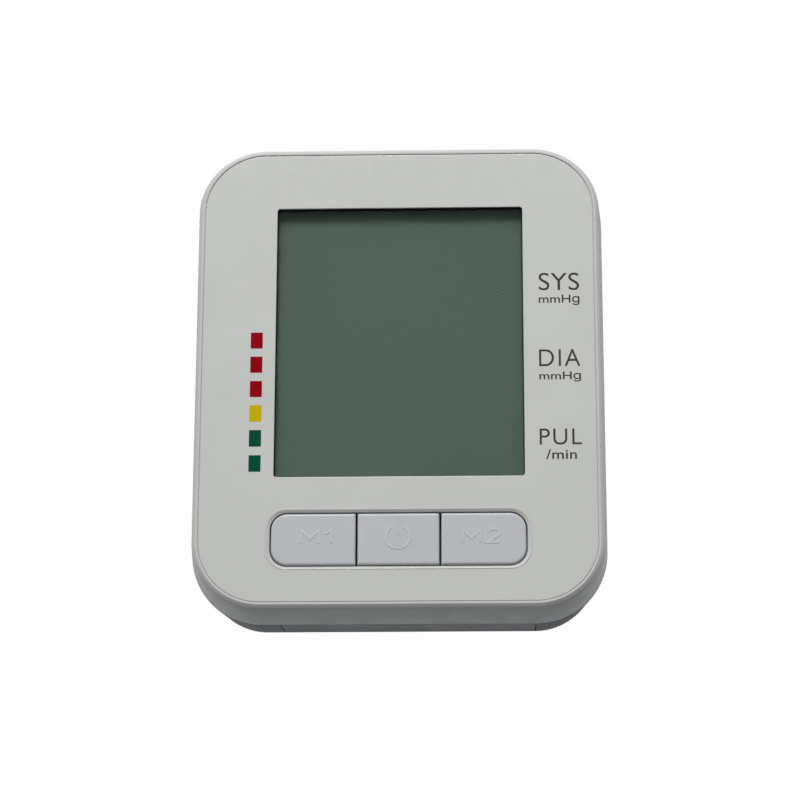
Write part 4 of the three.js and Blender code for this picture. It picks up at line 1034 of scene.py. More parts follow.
def lowerOpenings(v, meet):
    # battery bay, door and lip, screw wells, foot seats, latch slots and both sockets
    slip, seat = v["slip"], socketLow[0] + v["flangeWall"]
    lipInner = -(panelHalf[1] + lowerOffset(ringLowZ) - doorShape["wall"])
    radius, chamfer, hole = v["wellRadius"], v["wellChamfer"], caseShape["post"][1]
    top, mouth, end = v["wellTop"], radius + chamfer, meet + past
    well = [(-past, 0), (-past, mouth), (bottomZ, mouth), (bottomZ + chamfer, radius), (top, radius),
            (top, hole), (end, hole), (end, 0)]
    flange, bore, inside = v["flangeRadius"], v["socketRadius"], nutLow[0] + past
    socket = [(-farOut, 0), (-farOut, flange), (seat, flange), (seat, bore), (inside, bore), (inside, 0)]
    tabLow, tabHigh = bayRoofZ - past, bayRoofZ + v["bayRoof"] + past
    tabs = [box((cellCentres[index][0] - v["tabHalf"], bayBackY - v["tabDeep"], tabLow),
                (cellCentres[index][0] + v["tabHalf"], bayBackY + slip, tabHigh)) for index in (0, 3)]
    footX, footY = v["footPlace"]
    feet = [rod(v["footRadius"], -past, v["footTop"], (x * footX, y * footY, 0)) for x, y in signPairs]
    narrow = lipHalf + v["lipGap"]
    slot = carve(bayBox(lipHalf + slip, (-farOut, lipBackY), (bottomZ + v["slotLow"], partingZ + past)),
                 lowerSolid(v["slotDepth"], partingZ + 2 * past))
    return (
        bayBox(bayHalf, (bayFrontY, bayBackY), (0, bayRoofZ)),
        bayBox(doorShape["plateHalf"] + slip, (-farOut, bayBackY), (0, floorZ)), slot,
        bayBox(narrow, (-farOut, bayFrontY - v["bayWall"]), (0, ringLowZ - slip)),
        bayBox(narrow, (-farOut, lipInner + slip), (ringLowZ - past, partingZ + past)),
        meshOf(*[turned(well, place) for place in casePosts]), meshOf(*feet), meshOf(*tabs),
        lathe(socket, airPlace, "x"), bar(v["jackRadius"], jackBack - v["jackDeep"], farOut, jackPlace, "x"))


def lowerShellMesh(v):
    # a swept wall and floor; posts, ring and rests are joined on, then the openings are cut
    edge, wall, top, slip = caseShape["edge"], caseShape["wall"], doorHigh[2], v["slip"]
    base, outer = lowerProfile(0), lowerOffset(top)
    rows = np.vstack([
        [[base[0][0] - 0.2, bottomZ]], base, edgeRound(outer, top, caseShape["partingEdge"]),
        [[outer - wall + edge, top], [outer - wall, top - edge]], lowerProfile(wall, 6)[::-1]])
    near, ringTop = upperOffset(partingZ) - wall, partingZ + v["lip"]
    inside = near - slip - v["ringWall"]
    face, soft = near - slip, v["lipEdge"]
    ring = [(inside, ringLowZ), (near + slip, ringLowZ), (near + slip, top), (face, top),
            (face, ringTop - soft), (face - soft, ringTop), (inside, ringTop), (inside, ringLowZ)]
    low, meet = floorZ - 1.0, partingZ - caseShape["postDrop"]
    posts = [rod(caseShape["post"][0] + slip, low, meet, place, chamfer=0.2) for place in casePosts]
    shell = join(solid(rows, caseOutline), meshOf(sweepRows(ring, caseOutline)), meshOf(*posts),
                 *lowerRests(v, low, top))
    return carve(shell, *lowerOpenings(v, meet))


# its finish is the case plastic darkened as painted shade
stand("lower_shell", lowerShellMesh(lowerShape), "lowerPlasticPaintedShade")
print("lower shell made")


# Battery door

def doorMesh(v):
    # the lower case's skin kept between two boxes, with rails and arrow joined on and grip grooves cut
    top, wall, plate, slip = doorHigh[2], v["wall"], v["plateHalf"], v["slip"]
    skin = carve(lowerSolid(0, top), lowerSolid(wall, top + past))
    lip = shared(skin, bayBox(lipHalf, (-farOut, lipBackY), (0, partingZ)))
    floor = shared(skin, bayBox(plate, (lipBackY - slip, doorHigh[1]), (0, bottomZ + wall)))
    railZ, rails = floorZ + slip, []
    inner, stem, outer = (plate + reach for reach in v["rail"])
    railTop = railZ + v["railHeight"]
    for side in (-1, 1):
        for far, low in ((stem, bottomZ + wall / 2), (outer, railZ)):
            left, right = sorted((bayX + side * inner, bayX + side * far))
            rails.append(boxMesh((left, lipBackY + wall, low), (right, doorHigh[1], railTop)))
    size = v["arrowSize"]
    arrow = np.array([[0, -1], [1, 0.5], [-1, 0.5]]) * size + v["arrowTip"] + (bayX, 0)
    middle, arrowLow = arrow.mean(0), bottomZ - v["arrowRise"]
    raised = solid([(-0.25, arrowLow), (0, arrowLow + 0.12), (0, bottomZ + 0.3)],
                   lambda grow: middle + (arrow - middle) * (1 + grow / size))
    half, edge = np.array(v["gripHalf"]), v["gripEdge"]
    gripRows = [(edge, -past), (edge, bottomZ), (0, bottomZ + edge), (0, bottomZ + v["gripDepth"])]
    grips = [solid(gripRows, lambda grow: roundedOutline(half + grow, half[1] + grow, (bayX, y), 6))
             for y in v["gripY"] + np.arange(v["gripCount"]) * v["gripPitch"]]
    return carve(join(lip, floor, *rails, raised), *grips)


# the door takes the same darkened case plastic, painted shade
stand("battery_door", doorMesh(doorShape), "lowerPlasticPaintedShade", "battery_cover")
print("battery door made")


# Feet, screws and sockets

footProfile = np.vstack([
    [[2.5, 0], [2.5, 4.85], [2.35, 5.0]],
    edgeRound(5.0, 0, 0.75, up=-1)[:, ::-1],
    [[0, 3.5], [0.25, 3.35], [0.25, 3.0], [0, 2.85], [0, 1.9], [0.25, 1.75], [0.25, 1.4], [0, 1.25], [0, 0]],
])
screwShapes = {    # thread radius, reach, head radius and head height
    "case": (1.3, 19.6, 2.5, 2.0), "board": (1.0, 6.2, 2.2, 1.4),
}


def screwMesh(radius, reach, head, height):
    # a turned head and a shank whose radius rises and falls with the thread, then a crossed recess
    ridge = np.arange(1.0, reach - 1.0, 0.5)
    across = np.tile([radius, radius * 0.8], len(ridge))
    thread = np.column_stack([np.repeat(ridge, 2) + np.tile([0, 0.25], len(ridge)), across])
    profile = np.vstack([
        [[-height, 0], [-height, head * 0.72], [0.2 - height, head * 0.93], [0.5 - height, head],
         [-0.1, head], [0, head - 0.1], [0, radius * 0.8]],
        thread, [[reach - 0.5, radius * 0.7], [reach, 0.25], [reach, 0]]])
    arms = [solid([(0.12, -height - 1), (0, 0.8 - height)], lambda grow: roundedOutline(
        np.array(half) + grow, 0.1, steps=2)) for half in ((head * 0.5, 0.35), (0.35, head * 0.5))]
    return carve(lathe(profile, (0, 0, 0), sides=24), *arms)


def cornerName(x, y):
    # the words for the corner that a place lies in
    return ("front_" if y < 0 else "back_") + ("left" if x < 0 else "right")


footMesh = lathe(footProfile, (0, 0, 0))
caseScrew, boardScrew = (screwMesh(*values) for values in screwShapes.values())
for (x, y), (postX, postY, _) in zip(signPairs, casePosts):
    footX, footY = lowerShape["footPlace"]
    foot = shifted(footMesh, (x * footX, y * footY, 0))
    stand("foot_" + cornerName(x, y), foot, "darkRubber", slot="foot_rubber")
    screw = shifted(caseScrew, (postX, postY, lowerShape["wellTop"]))
    stand("case_screw_" + cornerName(x, y), screw, "steel", slot="screw_steel")
for x, y in caseShape["boardPosts"]:
    screw = shifted(boardScrew, (x, y, boardUnder))
    stand("board_screw_" + cornerName(x, y), screw, "steel", slot="screw_steel")


def barbs(start, end, radius=1.2):
    # three short cones one behind the other, each rising towards the body
    step = (end - start) / 3
    rows = [(start + step * index + share * step, radius * size)
            for index in range(3) for share, size in ((0.05, 1.0), (0.95, 0.8))]
    return [*rows, (end, 0)]


socketInner = socketHigh[0] - nozzleLength
socketRows = (    # distance from the flange's face, radius
    (12.5, 0), (12.5, 1.0), (12, 1.2), (12, 3.2), (0.5, 3.2), (0.1, 3.6), (0, 3.75), (0, 5.45), (0.25, 5.75),
    (0.45, 5.8), (0.9, 5.8), (1, 5.7), (1, 4.6))
socketProfile = [*[(socketLow[0] + along, radius) for along, radius in socketRows],
                 (socketInner - 0.3, 4.6), (socketInner, 4.3), *barbs(socketInner, socketHigh[0])]
nutShape = {"edge": 0.35, "bore": 4.7}
jackShape = {"edge": 0.4, "nose": 4.0, "soft": 0.2,
             "bore": ((-10, 0), (-10, 2.9), (-0.35, 2.9), (0, 3.25), (1, 3.25), (1, 0)),
             "pin": ((-11, 0), (-11, 0.9), (-1.6, 0.9), (-1.15, 0.65), (-1, 0.3), (-1, 0))}


def nutMesh(v):
    # six-sided prism along X with chamfered faces and a round bore
    size, edge, low, high = (nutHigh - nutLow)[1:], v["edge"], nutLow[0], nutHigh[0]
    hexagon = circlePoints(np.radians(np.arange(6) * 60 + (90 if size[1] > size[0] else 0)))
    rows = [(-edge, low), (0, low + edge), (0, high - edge), (-edge, high)]
    parts = [(points[:, [2, 0, 1]] + airPlace, faces)
             for points, faces in prism(rows, lambda grow: hexagon * (size.max() / 2 + grow))]
    return carve(meshOf(*parts), bar(v["bore"], low - past, high + past, airPlace, "x"))


def jackMeshes(v):
    # a block with a round nose through the wall; the bore is cut and a rounded pin stands in it
    face = jackHigh[0]
    body = block(jackLow, (jackBack, jackHigh[1], jackHigh[2]), v["edge"])
    body = join(body, bar(v["nose"], jackBack - 1, face, jackPlace, "x", v["soft"]))
    bore, pin = (lathe([(face + along, radius) for along, radius in v[key]], jackPlace, "x", sides)
                 for key, sides in (("bore", 40), ("pin", 24)))
    return carve(body, bore), pin


stand("air_socket", lathe(socketProfile, airPlace, "x", 56), "darkPlastic")
stand("air_socket_nut", nutMesh(nutShape), "darkPlastic")
jackBody, jackPin = jackMeshes(jackShape)
stand("power_socket", jackBody, "darkPlastic")
addPiece("power_pin", jackPin, "nickel")
print("feet, screws and sockets made")


# Cells and contacts

cellShape = {"radius": 7.1, "core": 6.95, "edge": 0.7, "nub": 2.7, "nubHeight": 1.3, "fold": 5.3,
             "bands": (    # share of the length where each starts, and its colour
                 (0.0, (44, 50, 60)), (0.7, (196, 199, 202)), (0.715, (62, 96, 110)), (0.95, (196, 199, 202)))}


def cellProfiles(v, length):
    # distances from the flat end: the metal can with its raised end, and the jacket folded over both edges
    end, core, nub, fold = length - v["nubHeight"], v["core"], v["nub"], v["fold"]
    can = [(0, 0), (0, 4.3), (0.15, 4.5), (0.15, 6.2), (0.5, core - 0.15), (0.8, core),
           (end - 0.7, core), (end - 0.2, core - 0.3), (end - 0.2, 3.4), (end - 0.1, 3.2), (end, nub + 0.2),
           (length - 0.3, nub), (length - 0.08, nub - 0.15), (length, nub - 0.4), (length, 0)]
    jacket = np.vstack([
        [[0.1, fold]], [[0, fold + 0.2]], edgeRound(v["radius"], 0, v["edge"], up=-1)[::-1, ::-1],
        edgeRound(v["radius"], end, v["edge"])[:, ::-1],
        [[end, fold + 0.2], [end - 0.1, fold], [end - 0.5, core - 0.1], [0.5, core - 0.1], [0.1, fold]]])
    return can, jacket


def jacketMaterial(v):
    # printed film along the piece's own UV: dark body, a thin light ring and a lighter end
    material, tree, shader, place = newMaterial("jacketFilm", {"Coat Weight": 0.3, "Coat Roughness": 0.12})
    ramp = tree.nodes.new("ShaderNodeValToRGB")
    ramp.color_ramp.interpolation = "CONSTANT"
    for at, _ in v["bands"][1:3]:
        ramp.color_ramp.elements.new(at)
    for element, (at, color) in zip(ramp.color_ramp.elements, v["bands"]):
        element.position, element.color = at, shade(color)
    along = addNode(tree, "SeparateXYZ", {0: addNode(tree, "UVMap", uv_map="wrap")["UV"]})["Y"]
    tone = fill(tree, ramp, {"Fac": along}).outputs["Color"]
    surface = addNode(tree, "Group", {"Vector": place, "Tone A": tone, "Tone B": tone, "Grain Scale": 1800.0,
                                      "Gloss Low": 0.22, "Gloss High": 0.34}, node_tree=mouldedGroup)
    finishShader(tree, shader, surface, surface["Color"], surface["Height"], 0.05, grainDepth)
    return material


def wrapUv(mesh, centre, low, span):
    # across = angle round the cell / full turn, along = distance from the flat end / length
    points = readAll(mesh.vertices, "co", 3) / mm
    angle = np.arctan2(points[:, 2] - centre[2], points[:, 0] - centre[0]) / (2 * math.pi) + 0.5
    uv = np.column_stack([angle, (points[:, 1] - low) / span])[readAll(mesh.loops, "vertex_index", kind=int)]
    mesh.uv_layers.new(name="wrap").data.foreach_set("uv", uv.ravel())


materials["jacketFilm"] = jacketMaterial(cellShape)
for index, ((low, high), centre) in enumerate(zip(cellBoxes, cellCentres)):
    name, length = f"battery_cell_{index + 1}", high[1] - low[1]
    start, direction = (high[1], -1) if index % 2 else (low[1], 1)
    can, jacket = (lathe([(start + direction * along, radius) for along, radius in profile],
                         (centre[0], 0, cellZ), "y", 48) for profile in cellProfiles(cellShape, length))
    wrapUv(jacket, centre, start, direction * length)
    addPiece(name + "_can", can, "nickel")
    addPiece(name + "_jacket", jacket, "jacketFilm", node=name)


def sweptMesh(path, radius, reference, sides=12, bore=0.0):
    # rings square to the path: side = tangent x reference, up = side x tangent
    path = np.asarray(path, float)
    tangent = np.gradient(path, axis=0)
    side = np.cross(tangent / np.linalg.norm(tangent, axis=1, keepdims=True), reference)
    side /= np.linalg.norm(side, axis=1, keepdims=True)
    up = np.cross(side, tangent / np.linalg.norm(tangent, axis=1, keepdims=True))
    turn = fullTurn(sides)[None, :, None]
    around = np.cos(turn) * side[:, None] + np.sin(turn) * up[:, None]
    outer = path[:, None] + radius * around
    if bore:
        return meshOf(tube(np.concatenate([outer, (path[:, None] + bore * around)[::-1], outer[:1]])))
    points, faces = tube(outer)
    last = len(points) - sides
    return meshOf((points, [*faces, list(range(sides)), list(range(last, last + sides))]))


contactShape = {
    "sheet": 0.4, "half": 5.5, "edge": 0.12, "turns": 3, "turnSteps": 28, "wire": 0.4, "wide": 4.4,
    "narrow": 2.4, "rise": 3.9, "tabHalf": 1.5, "dimple": 2.4, "dimpleSink": 0.2, "dimpleRise": 0.25,
}
contactRows = [    # name, first and last cell, cells with a spring, at the front, with a tab up to the board
    ("contact_front_left", (0, 1), (0,), True, False), ("contact_front_right", (2, 3), (2,), True, False),
    ("contact_back_left", (0, 0), (), False, True), ("contact_back_middle", (1, 2), (1,), False, False),
    ("contact_back_right", (3, 3), (3,), False, True),
]


def contactMesh(v, span, springs, front, soldered):
    # a stamped sheet, with a cone spring for each flat cell end and a dimple for each raised one
    inwards, half, dimple = 1 if front else -1, v["half"], v["dimple"]
    wallY = bayFrontY if front else bayBackY
    innerY = wallY + inwards * v["sheet"]
    lowY, highY = sorted((wallY, innerY))
    lowX, highX = cellCentres[span[0]][0], cellCentres[span[1]][0]
    sheet = block((lowX - half, lowY, cellZ - half), (highX + half, highY, cellZ + half), v["edge"])
    tab = v["tabHalf"]
    extras = [boxMesh((lowX - tab, lowY, cellZ), (lowX + tab, highY, boardUnder))] * soldered
    turn = np.linspace(0, v["turns"] * 2 * math.pi, v["turns"] * v["turnSteps"] + 1)
    share = turn / turn[-1]
    radius = v["wide"] + (v["narrow"] - v["wide"]) * share
    for index in range(span[0], span[1] + 1):
        x = cellCentres[index][0]
        if index in springs:
            coil = np.column_stack([x + radius * np.cos(turn), innerY + inwards * v["rise"] * share,
                                    cellZ - inwards * radius * np.sin(turn)])
            extras.append(sweptMesh(coil, v["wire"], (0, 1, 0), 8))
        else:
            sink, rise = innerY - inwards * v["dimpleSink"], inwards * v["dimpleRise"]
            bump = [(sink, 0), (sink, dimple), (innerY, dimple), (innerY + rise * 0.7, dimple * 0.7),
                    (innerY + rise, dimple * 0.3), (innerY + rise, 0)]
            extras.append(lathe(bump, (x, 0, cellZ), "y", 24))
    return join(sheet, *extras)


for name, *values in contactRows:
    stand(name, contactMesh(contactShape, *values), "nickel")
print("cells and contacts made")


# Display frame, contact strip and main board

frameLow, frameHigh = nodeBox("display_frame")
frameShape = {"ledge": 1.5, "outer": 4.3, "collar": 1.4, "view": 0.3, "pocket": 2.7, "slip": 0.1,
              "soft": 0.12}
boardShape = {"corner": 2.0, "edge": 0.1, "notch": 3.8, "hole": 1.2}


def frameMesh(v):
    # one closed section carried round the display: wall, collar, view edge, pocket and ledge
    low, top, soft, pocketTop = frameLow[2], frameHigh[2], v["soft"], glassHigh[2] + v["slip"]
    ledge, outer, collar, view, pocket = (v[key] for key in ("ledge", "outer", "collar", "view", "pocket"))
    return meshOf(sweepRows([
        (ledge + soft, low), (outer - soft, low), (outer, low + soft), (outer, faceWallZ),
        (collar, faceWallZ), (collar, top - soft), (collar - soft, top), (view + soft, top),
        (view, top - soft), (view, pocketTop), (pocket, pocketTop), (pocket, glassLow[2]),
        (ledge, glassLow[2]), (ledge, low + soft), (ledge + soft, low)], windowRing))


def stripedRubber():
    # dark rubber with fine lighter stripes across the strip, as the conducting layers show
    material, tree, shader, place = newMaterial("stripedRubber", {})
    wave = addNode(tree, "TexWave", {"Vector": place, "Scale": 900.0})["Fac"]
    surface = addNode(tree, "Group", {
        "Vector": place, "Gloss Low": 0.6, "Gloss High": 0.8}, node_tree=mouldedGroup)
    tone = mixed(tree, wave, shade((34, 34, 36)), shade((150, 120, 96)))
    finishShader(tree, shader, surface, tone, wave, 0.2, stripeDepth)
    return material


def boardMaterial():
    # green lacquer; light lines follow the cell edges of one pattern, tinned pads the middles of another
    material, tree, shader, place = newMaterial("greenBoard", {"Coat Weight": 0.4, "Coat Roughness": 0.15})
    lines, pads = (compute(tree, "LESS_THAN", addNode(
        tree, "TexVoronoi", {"Vector": place, "Scale": scale}, feature=feature)["Distance"], limit)
        for feature, scale, limit in (("DISTANCE_TO_EDGE", 170.0, 0.07), ("F1", 260.0, 0.16)))
    surface = addNode(tree, "Group", {
        "Vector": place, "Tone A": shade((24, 92, 52)), "Tone B": shade((20, 80, 46)),
        "Gloss Low": 0.3, "Gloss High": 0.45}, node_tree=mouldedGroup)
    copper = mixed(tree, lines, surface["Color"], shade((44, 128, 74)))
    tin = mixed(tree, pads, copper, shade((190, 188, 176)))
    finishShader(tree, shader, surface, tin, lines, 0.3, lineDepth, Metallic=pads)
    return material


def boardMesh(v):
    # a rounded plate with round notches at the case posts and holes at its own
    (centre, half), edge = planOf(boardLow, boardHigh), v["edge"]
    rows = [(-edge, boardUnder), (0, boardUnder + edge), (0, boardTopZ - edge), (-edge, boardTopZ)]
    plate = solid(rows, lambda grow: roundedOutline(half + grow, v["corner"], centre, 6))
    span = (boardUnder - past, boardTopZ + past)
    notches = [rod(v["notch"], *span, place) for place in casePosts]
    holes = [rod(v["hole"], *span, (*place, 0)) for place in caseShape["boardPosts"]]
    return carve(plate, meshOf(*notches), meshOf(*holes))


materials |= {"stripedRubber": stripedRubber(), "greenBoard": boardMaterial()}
stand("display_frame", frameMesh(frameShape), "darkPlastic", sharp=25)
stand("display_contact_strip", block(*nodeBox("display_contact_strip"), 0.25), "stripedRubber")
stand("main_board", boardMesh(boardShape), "greenBoard")


# Parts on the board

chipLow, chipHigh = nodeBox("controller_chip")
chipShape = {"inset": 1.0, "edge": 0.12, "standOff": 0.1, "dot": 0.45, "dotIn": 1.2, "dotDeep": 0.08,
             "legs": 12, "pitch": 0.8, "legHalf": 0.18, "legThick": 0.12, "legLow": 0.55, "knee": 0.7}
quarterTurns = ([[1, 0], [0, 1]], [[0, -1], [1, 0]], [[-1, 0], [0, -1]], [[0, 1], [-1, 0]])


def chipLegs(v):
    # each leg leaves the body's side level, drops to the board and ends in a short foot
    middle, (half, _) = planOf(chipLow, chipHigh)
    thick, start, knee = v["legThick"], half - v["inset"] - 0.05, half - v["knee"]
    high, low = chipHigh[2], chipLow[2] + v["legLow"]
    side = np.array([[start, low], [knee, low], [knee + 0.25, high - thick], [half, high - thick],
                     [half, high], [knee + 0.12, high], [knee - thick, low + thick], [start, low + thick]])
    parts, count = [], len(side)
    for at in (np.arange(v["legs"]) - (v["legs"] - 1) / 2) * v["pitch"]:
        near = np.column_stack([side[:, 0], np.full(count, at - v["legHalf"]), side[:, 1]])
        points, faces = tube([near, near + (0, 2 * v["legHalf"], 0)])
        faces = [*faces, list(range(count)), list(range(count, 2 * count))]
        parts += [(np.column_stack([points[:, :2] @ np.array(turn).T + middle, points[:, 2]]), faces)
                  for turn in quarterTurns]
    return meshOf(*parts)


def chipBody(v):
    # a rounded block with a small round mark sunk into one corner
    inset, corner = v["inset"], chipLow[:2] + v["inset"] + v["dotIn"]
    body = block((*(chipLow[:2] + inset), chipLow[2]),
                 (*(chipHigh[:2] - inset), chipHigh[2] - v["standOff"]), v["edge"])
    return carve(body, bar(v["dot"], -1, chipLow[2] + v["dotDeep"], (*corner, 0), sides=24))


def beeperMesh():
    # a turned can with a seam near the board and a stepped sound hole
    low, high = nodeBox("beeper")
    (middle, (radius, _)), top, end = planOf(low, high), low[2], high[2]
    profile = [
        (end, 0), (end, radius - 0.2), (end - 0.2, radius), (end - 1.0, radius), (end - 1.15, radius - 0.2),
        (top + 0.6, radius - 0.2), (top + 0.15, radius - 0.4), (top, radius - 0.8), (top, 2.4),
        (top + 0.25, 2.2), (top + 0.25, 1.2), (top + 0.4, 1.0), (end - 1.2, 1.0), (end - 1.2, 0)]
    return lathe(profile, (*middle, 0), sides=48)


switchShape = {"hole": 1.8, "depth": 1.6, "edge": 0.25, "rimEdge": 0.12, "rim": 0.3, "rimHigh": 0.6,
               "pin": 0.45, "pinAt": 2.15, "notch": (1.2, 0.2), "notchAt": 3.0}


def switchMesh(v, node):
    # a block with a raised rim, a well for the plunger, four pin marks and two side notches
    low, high = nodeBox(node)
    (x, y), top, rim = (low + high)[:2] / 2, high[2], v["rim"]
    body = join(block(low, (*high[:2], top - rim), v["edge"]),
                block((*(low[:2] + rim), top - v["rimHigh"]), (*(high[:2] - rim), top), v["rimEdge"]))
    pins = [rod(v["pin"], top - 0.7, top - 0.05, (x + a * v["pinAt"], y + b * v["pinAt"], 0), sides=16)
            for a, b in signPairs]
    halfX, halfY = v["notch"]
    notches = [box((x - halfX, y + side * v["notchAt"] - halfY, low[2] + 1.0),
                   (x + halfX, y + side * v["notchAt"] + halfY, low[2] + 2.0)) for side in (-1, 1)]
    well = bar(v["hole"], top - v["depth"], top + past, (x, y, 0))
    return carve(body, well, meshOf(*pins), meshOf(*notches))


stand("controller_chip", chipBody(chipShape), "darkPlastic")
addPiece("controller_chip_legs", chipLegs(chipShape), "nickel")
stand("beeper", beeperMesh(), "darkPlastic")
for key in keyRows:
    stand(key + "_switch", switchMesh(switchShape, key + "_switch"), "darkPlastic")
    low, high = nodeBox(key + "_plunger")
    profile = [(low[2], 0), (low[2], 1.5), *[(high[2] - down, radius) for down, radius in (
        (0.35, 1.5), (0.1, 1.4), (0, 1.15), (0, 0))]]
    plunger = lathe(profile, (*(low + high)[:2] / 2, 0), sides=32)
    stand(key + "_plunger", plunger, "darkPlastic", key + "_button", slot="plunger_plastic")

smallParts = {"columns": np.arange(-28, 29, 8.0), "rows": np.arange(-20, 46, 9.0), "jitter": 1.6,
              "share": 0.55, "seed": 7, "body": (1.6, 0.8, 0.6), "sizes": [1.0, 1.5], "cap": 0.35,
              "capOver": 0.03, "edge": 0.08}


def smallBoardParts(v):
    # chip resistors and capacitors in loose rows: dark bodies and bright end caps
    rng = np.random.default_rng(v["seed"])
    bodies, caps = [], []
    for x, y in [(x, y) for x in v["columns"] for y in v["rows"]]:
        place = np.array([x, y]) + rng.uniform(-v["jitter"], v["jitter"], 2)
        upright, used, size = rng.random() < 0.5, rng.random() < v["share"], rng.choice(v["sizes"])
        if not used:
            continue
        half = np.array(v["body"])[[1, 0, 2] if upright else [0, 1, 2]] * size / 2
        low = np.array([*(place - half[:2]), boardTopZ])
        high = np.array([*(place + half[:2]), boardTopZ + 2 * half[2]])
        bodies += roundedBox(low + v["capOver"], high - v["capOver"], v["edge"], 1)
        along = np.arange(3) == int(upright)
        reach = np.where(along, v["cap"] * size / 2, half)
        for end in (-1, 1):
            centre = (low + high) / 2 + np.where(along, end * (half - reach), 0)
            caps += roundedBox(centre - reach, centre + reach, v["edge"], 1)
    return meshOf(*bodies), meshOf(*caps)


sensorLow, sensorHigh = nodeBox("pressure_sensor")
sensorCentre, sensorBody = (sensorLow + sensorHigh)[:2] / 2, sensorHigh[2] - 4.0
sensorShape = {"edge": 0.4, "coreEdge": 0.3, "inset": 0.25, "seam": (1.3, 1.0), "seamHalf": 6,
               "nozzleDeep": 0.6, "nozzle": 2.2, "nozzleEnd": 1.9, "soft": 0.25}


def sensorMesh(v):
    # a moulded block with a lid line and a nozzle with barbs
    inset, start = v["inset"], sensorBody - v["soft"]
    body = block((*sensorLow[:2], sensorBody), sensorHigh, v["edge"])
    seam = boxMesh(*[(*(sensorCentre + side * v["seamHalf"]), sensorHigh[2] - down)
                     for side, down in zip((-1, 1), v["seam"])])
    core = block((*(sensorLow[:2] + inset), sensorBody + 0.5),
                 (*(sensorHigh[:2] - inset), sensorHigh[2] - 0.2), v["coreEdge"])
    deep, wide = sensorBody + v["nozzleDeep"], v["nozzle"]
    nozzle = [(deep, 0), (deep, wide), (sensorBody, wide), (start, v["nozzleEnd"]), (start, 1.0),
              *barbs(start, sensorLow[2])]
    return join(carve(body, seam), core, lathe(nozzle, (*sensorCentre, 0), sides=32))


partBodies, partCaps = smallBoardParts(smallParts)
addPiece("board_small_parts", partBodies, "darkPlastic")
addPiece("board_small_part_ends", partCaps, "nickel")
stand("pressure_sensor", sensorMesh(sensorShape), "whitePlastic")
print("board made")


# Air circuit

_, pumpY, pumpZ = pumpPlace
headLow, headHigh = nodeBox("pump_head")
headMinX = headLow[0] + nozzleLength
pumpShape = {"radius": 9.6, "boss": 4.0, "round": 1.0, "bossHigh": 1.5, "press": (0.4, 0.25, 0.3),
             "seam": (0.3, 0.2, 0.25), "seams": (7.0, 15.0), "seamHead": 4.0, "slot": (5.3, 8.0),
             "slotHalf": 2.2, "slotDeep": 0.7, "edge": 0.3}
sleeveShape = {"inner": 9.7, "edge": 0.25, "soft": 0.15, "line": (0.4, 0.2, 0.25), "lineAt": 2.0}


def motorMesh(v):
    # a drawn can with a rolled end, two pressed grooves, a bearing boss and cooling slots in its end face
    radius, boss, start, end = v["radius"], v["boss"], pumpLow[0], pumpHigh[0] - v["bossHigh"]
    profile = np.vstack([
        [[start, 0], [start, radius - 0.5], [start + 0.15, radius - 0.15], [start + 0.4, radius]],
        groove(start + 2.4, radius, *v["press"]), groove(end - 2.8, radius, *v["press"]),
        edgeRound(radius, end, v["round"], steps=6)[:, ::-1],
        [[end, boss + 0.4], [end + 0.25, boss], [end + 1.3, boss], [end + 1.5, boss - 0.25],
         [end + 1.5, 1.3], [end + 0.9, 1.1], [end + 0.9, 0]]])
    half, deep = v["slotHalf"], v["slotDeep"]
    spans = [sorted(side * reach for reach in v["slot"]) for side in (-1, 1)]
    return carve(lathe(profile, pumpPlace, "x", 64), *[
        block((end - deep, pumpY - half, pumpZ + low), (end + deep, pumpY + half, pumpZ + high), v["edge"])
        for low, high in spans])


def headMesh(v):
    # moulded plates with sealing lines between them, and the outlet nozzle
    radius, start, end = v["radius"], headMinX, headHigh[0]
    lines = [*[end - at for at in v["seams"]], start + v["seamHead"]]
    profile = [(end, 0), (end, radius - 0.3), (end - 0.3, radius),
               *[point for at in lines for point in groove(at, radius, *v["seam"])[::-1]],
               (start + 0.8, radius), (start + 0.25, radius - 0.25), (start, radius - 0.8), (start, 3.2),
               (start - 0.5, 2.4), (start - 0.5, 1.2), *barbs(start - 0.5, headLow[0])]
    return lathe(profile, pumpPlace, "x", 64)


def sleeveMesh(v, node):
    # a soft sleeve with rounded edges and two shallow grooves
    low, high = nodeBox(node)
    first, last, outer = low[0], high[0], (high - low)[2] / 2
    inner, edge, soft = v["inner"], v["edge"], v["soft"]
    lines = [groove(at, outer, *v["line"]) for at in (first + v["lineAt"], last - v["lineAt"])]
    profile = [(first, inner + soft), (first, outer - edge), (first + edge, outer), *lines[0], *lines[1],
               (last - edge, outer), (last, outer - edge), (last, inner + soft), (last - soft, inner),
               (first + soft, inner), (first, inner + soft)]
    return lathe(profile, pumpPlace, "x", 64)


valveLow, valveHigh = nodeBox("release_valve")
valveShape = {"axisHigh": 9.7, "flange": 2.0, "edge": 0.35, "coil": 5.4, "laps": 9, "lap": 0.12,
              "slip": 0.05, "yoke": 0.8, "yokeIn": 0.3, "yokeEdge": 0.2}
valveMinX = valveLow[0] + nozzleLength
valveAxis = (0, (valveLow + valveHigh)[1] / 2, valveShape["axisHigh"])


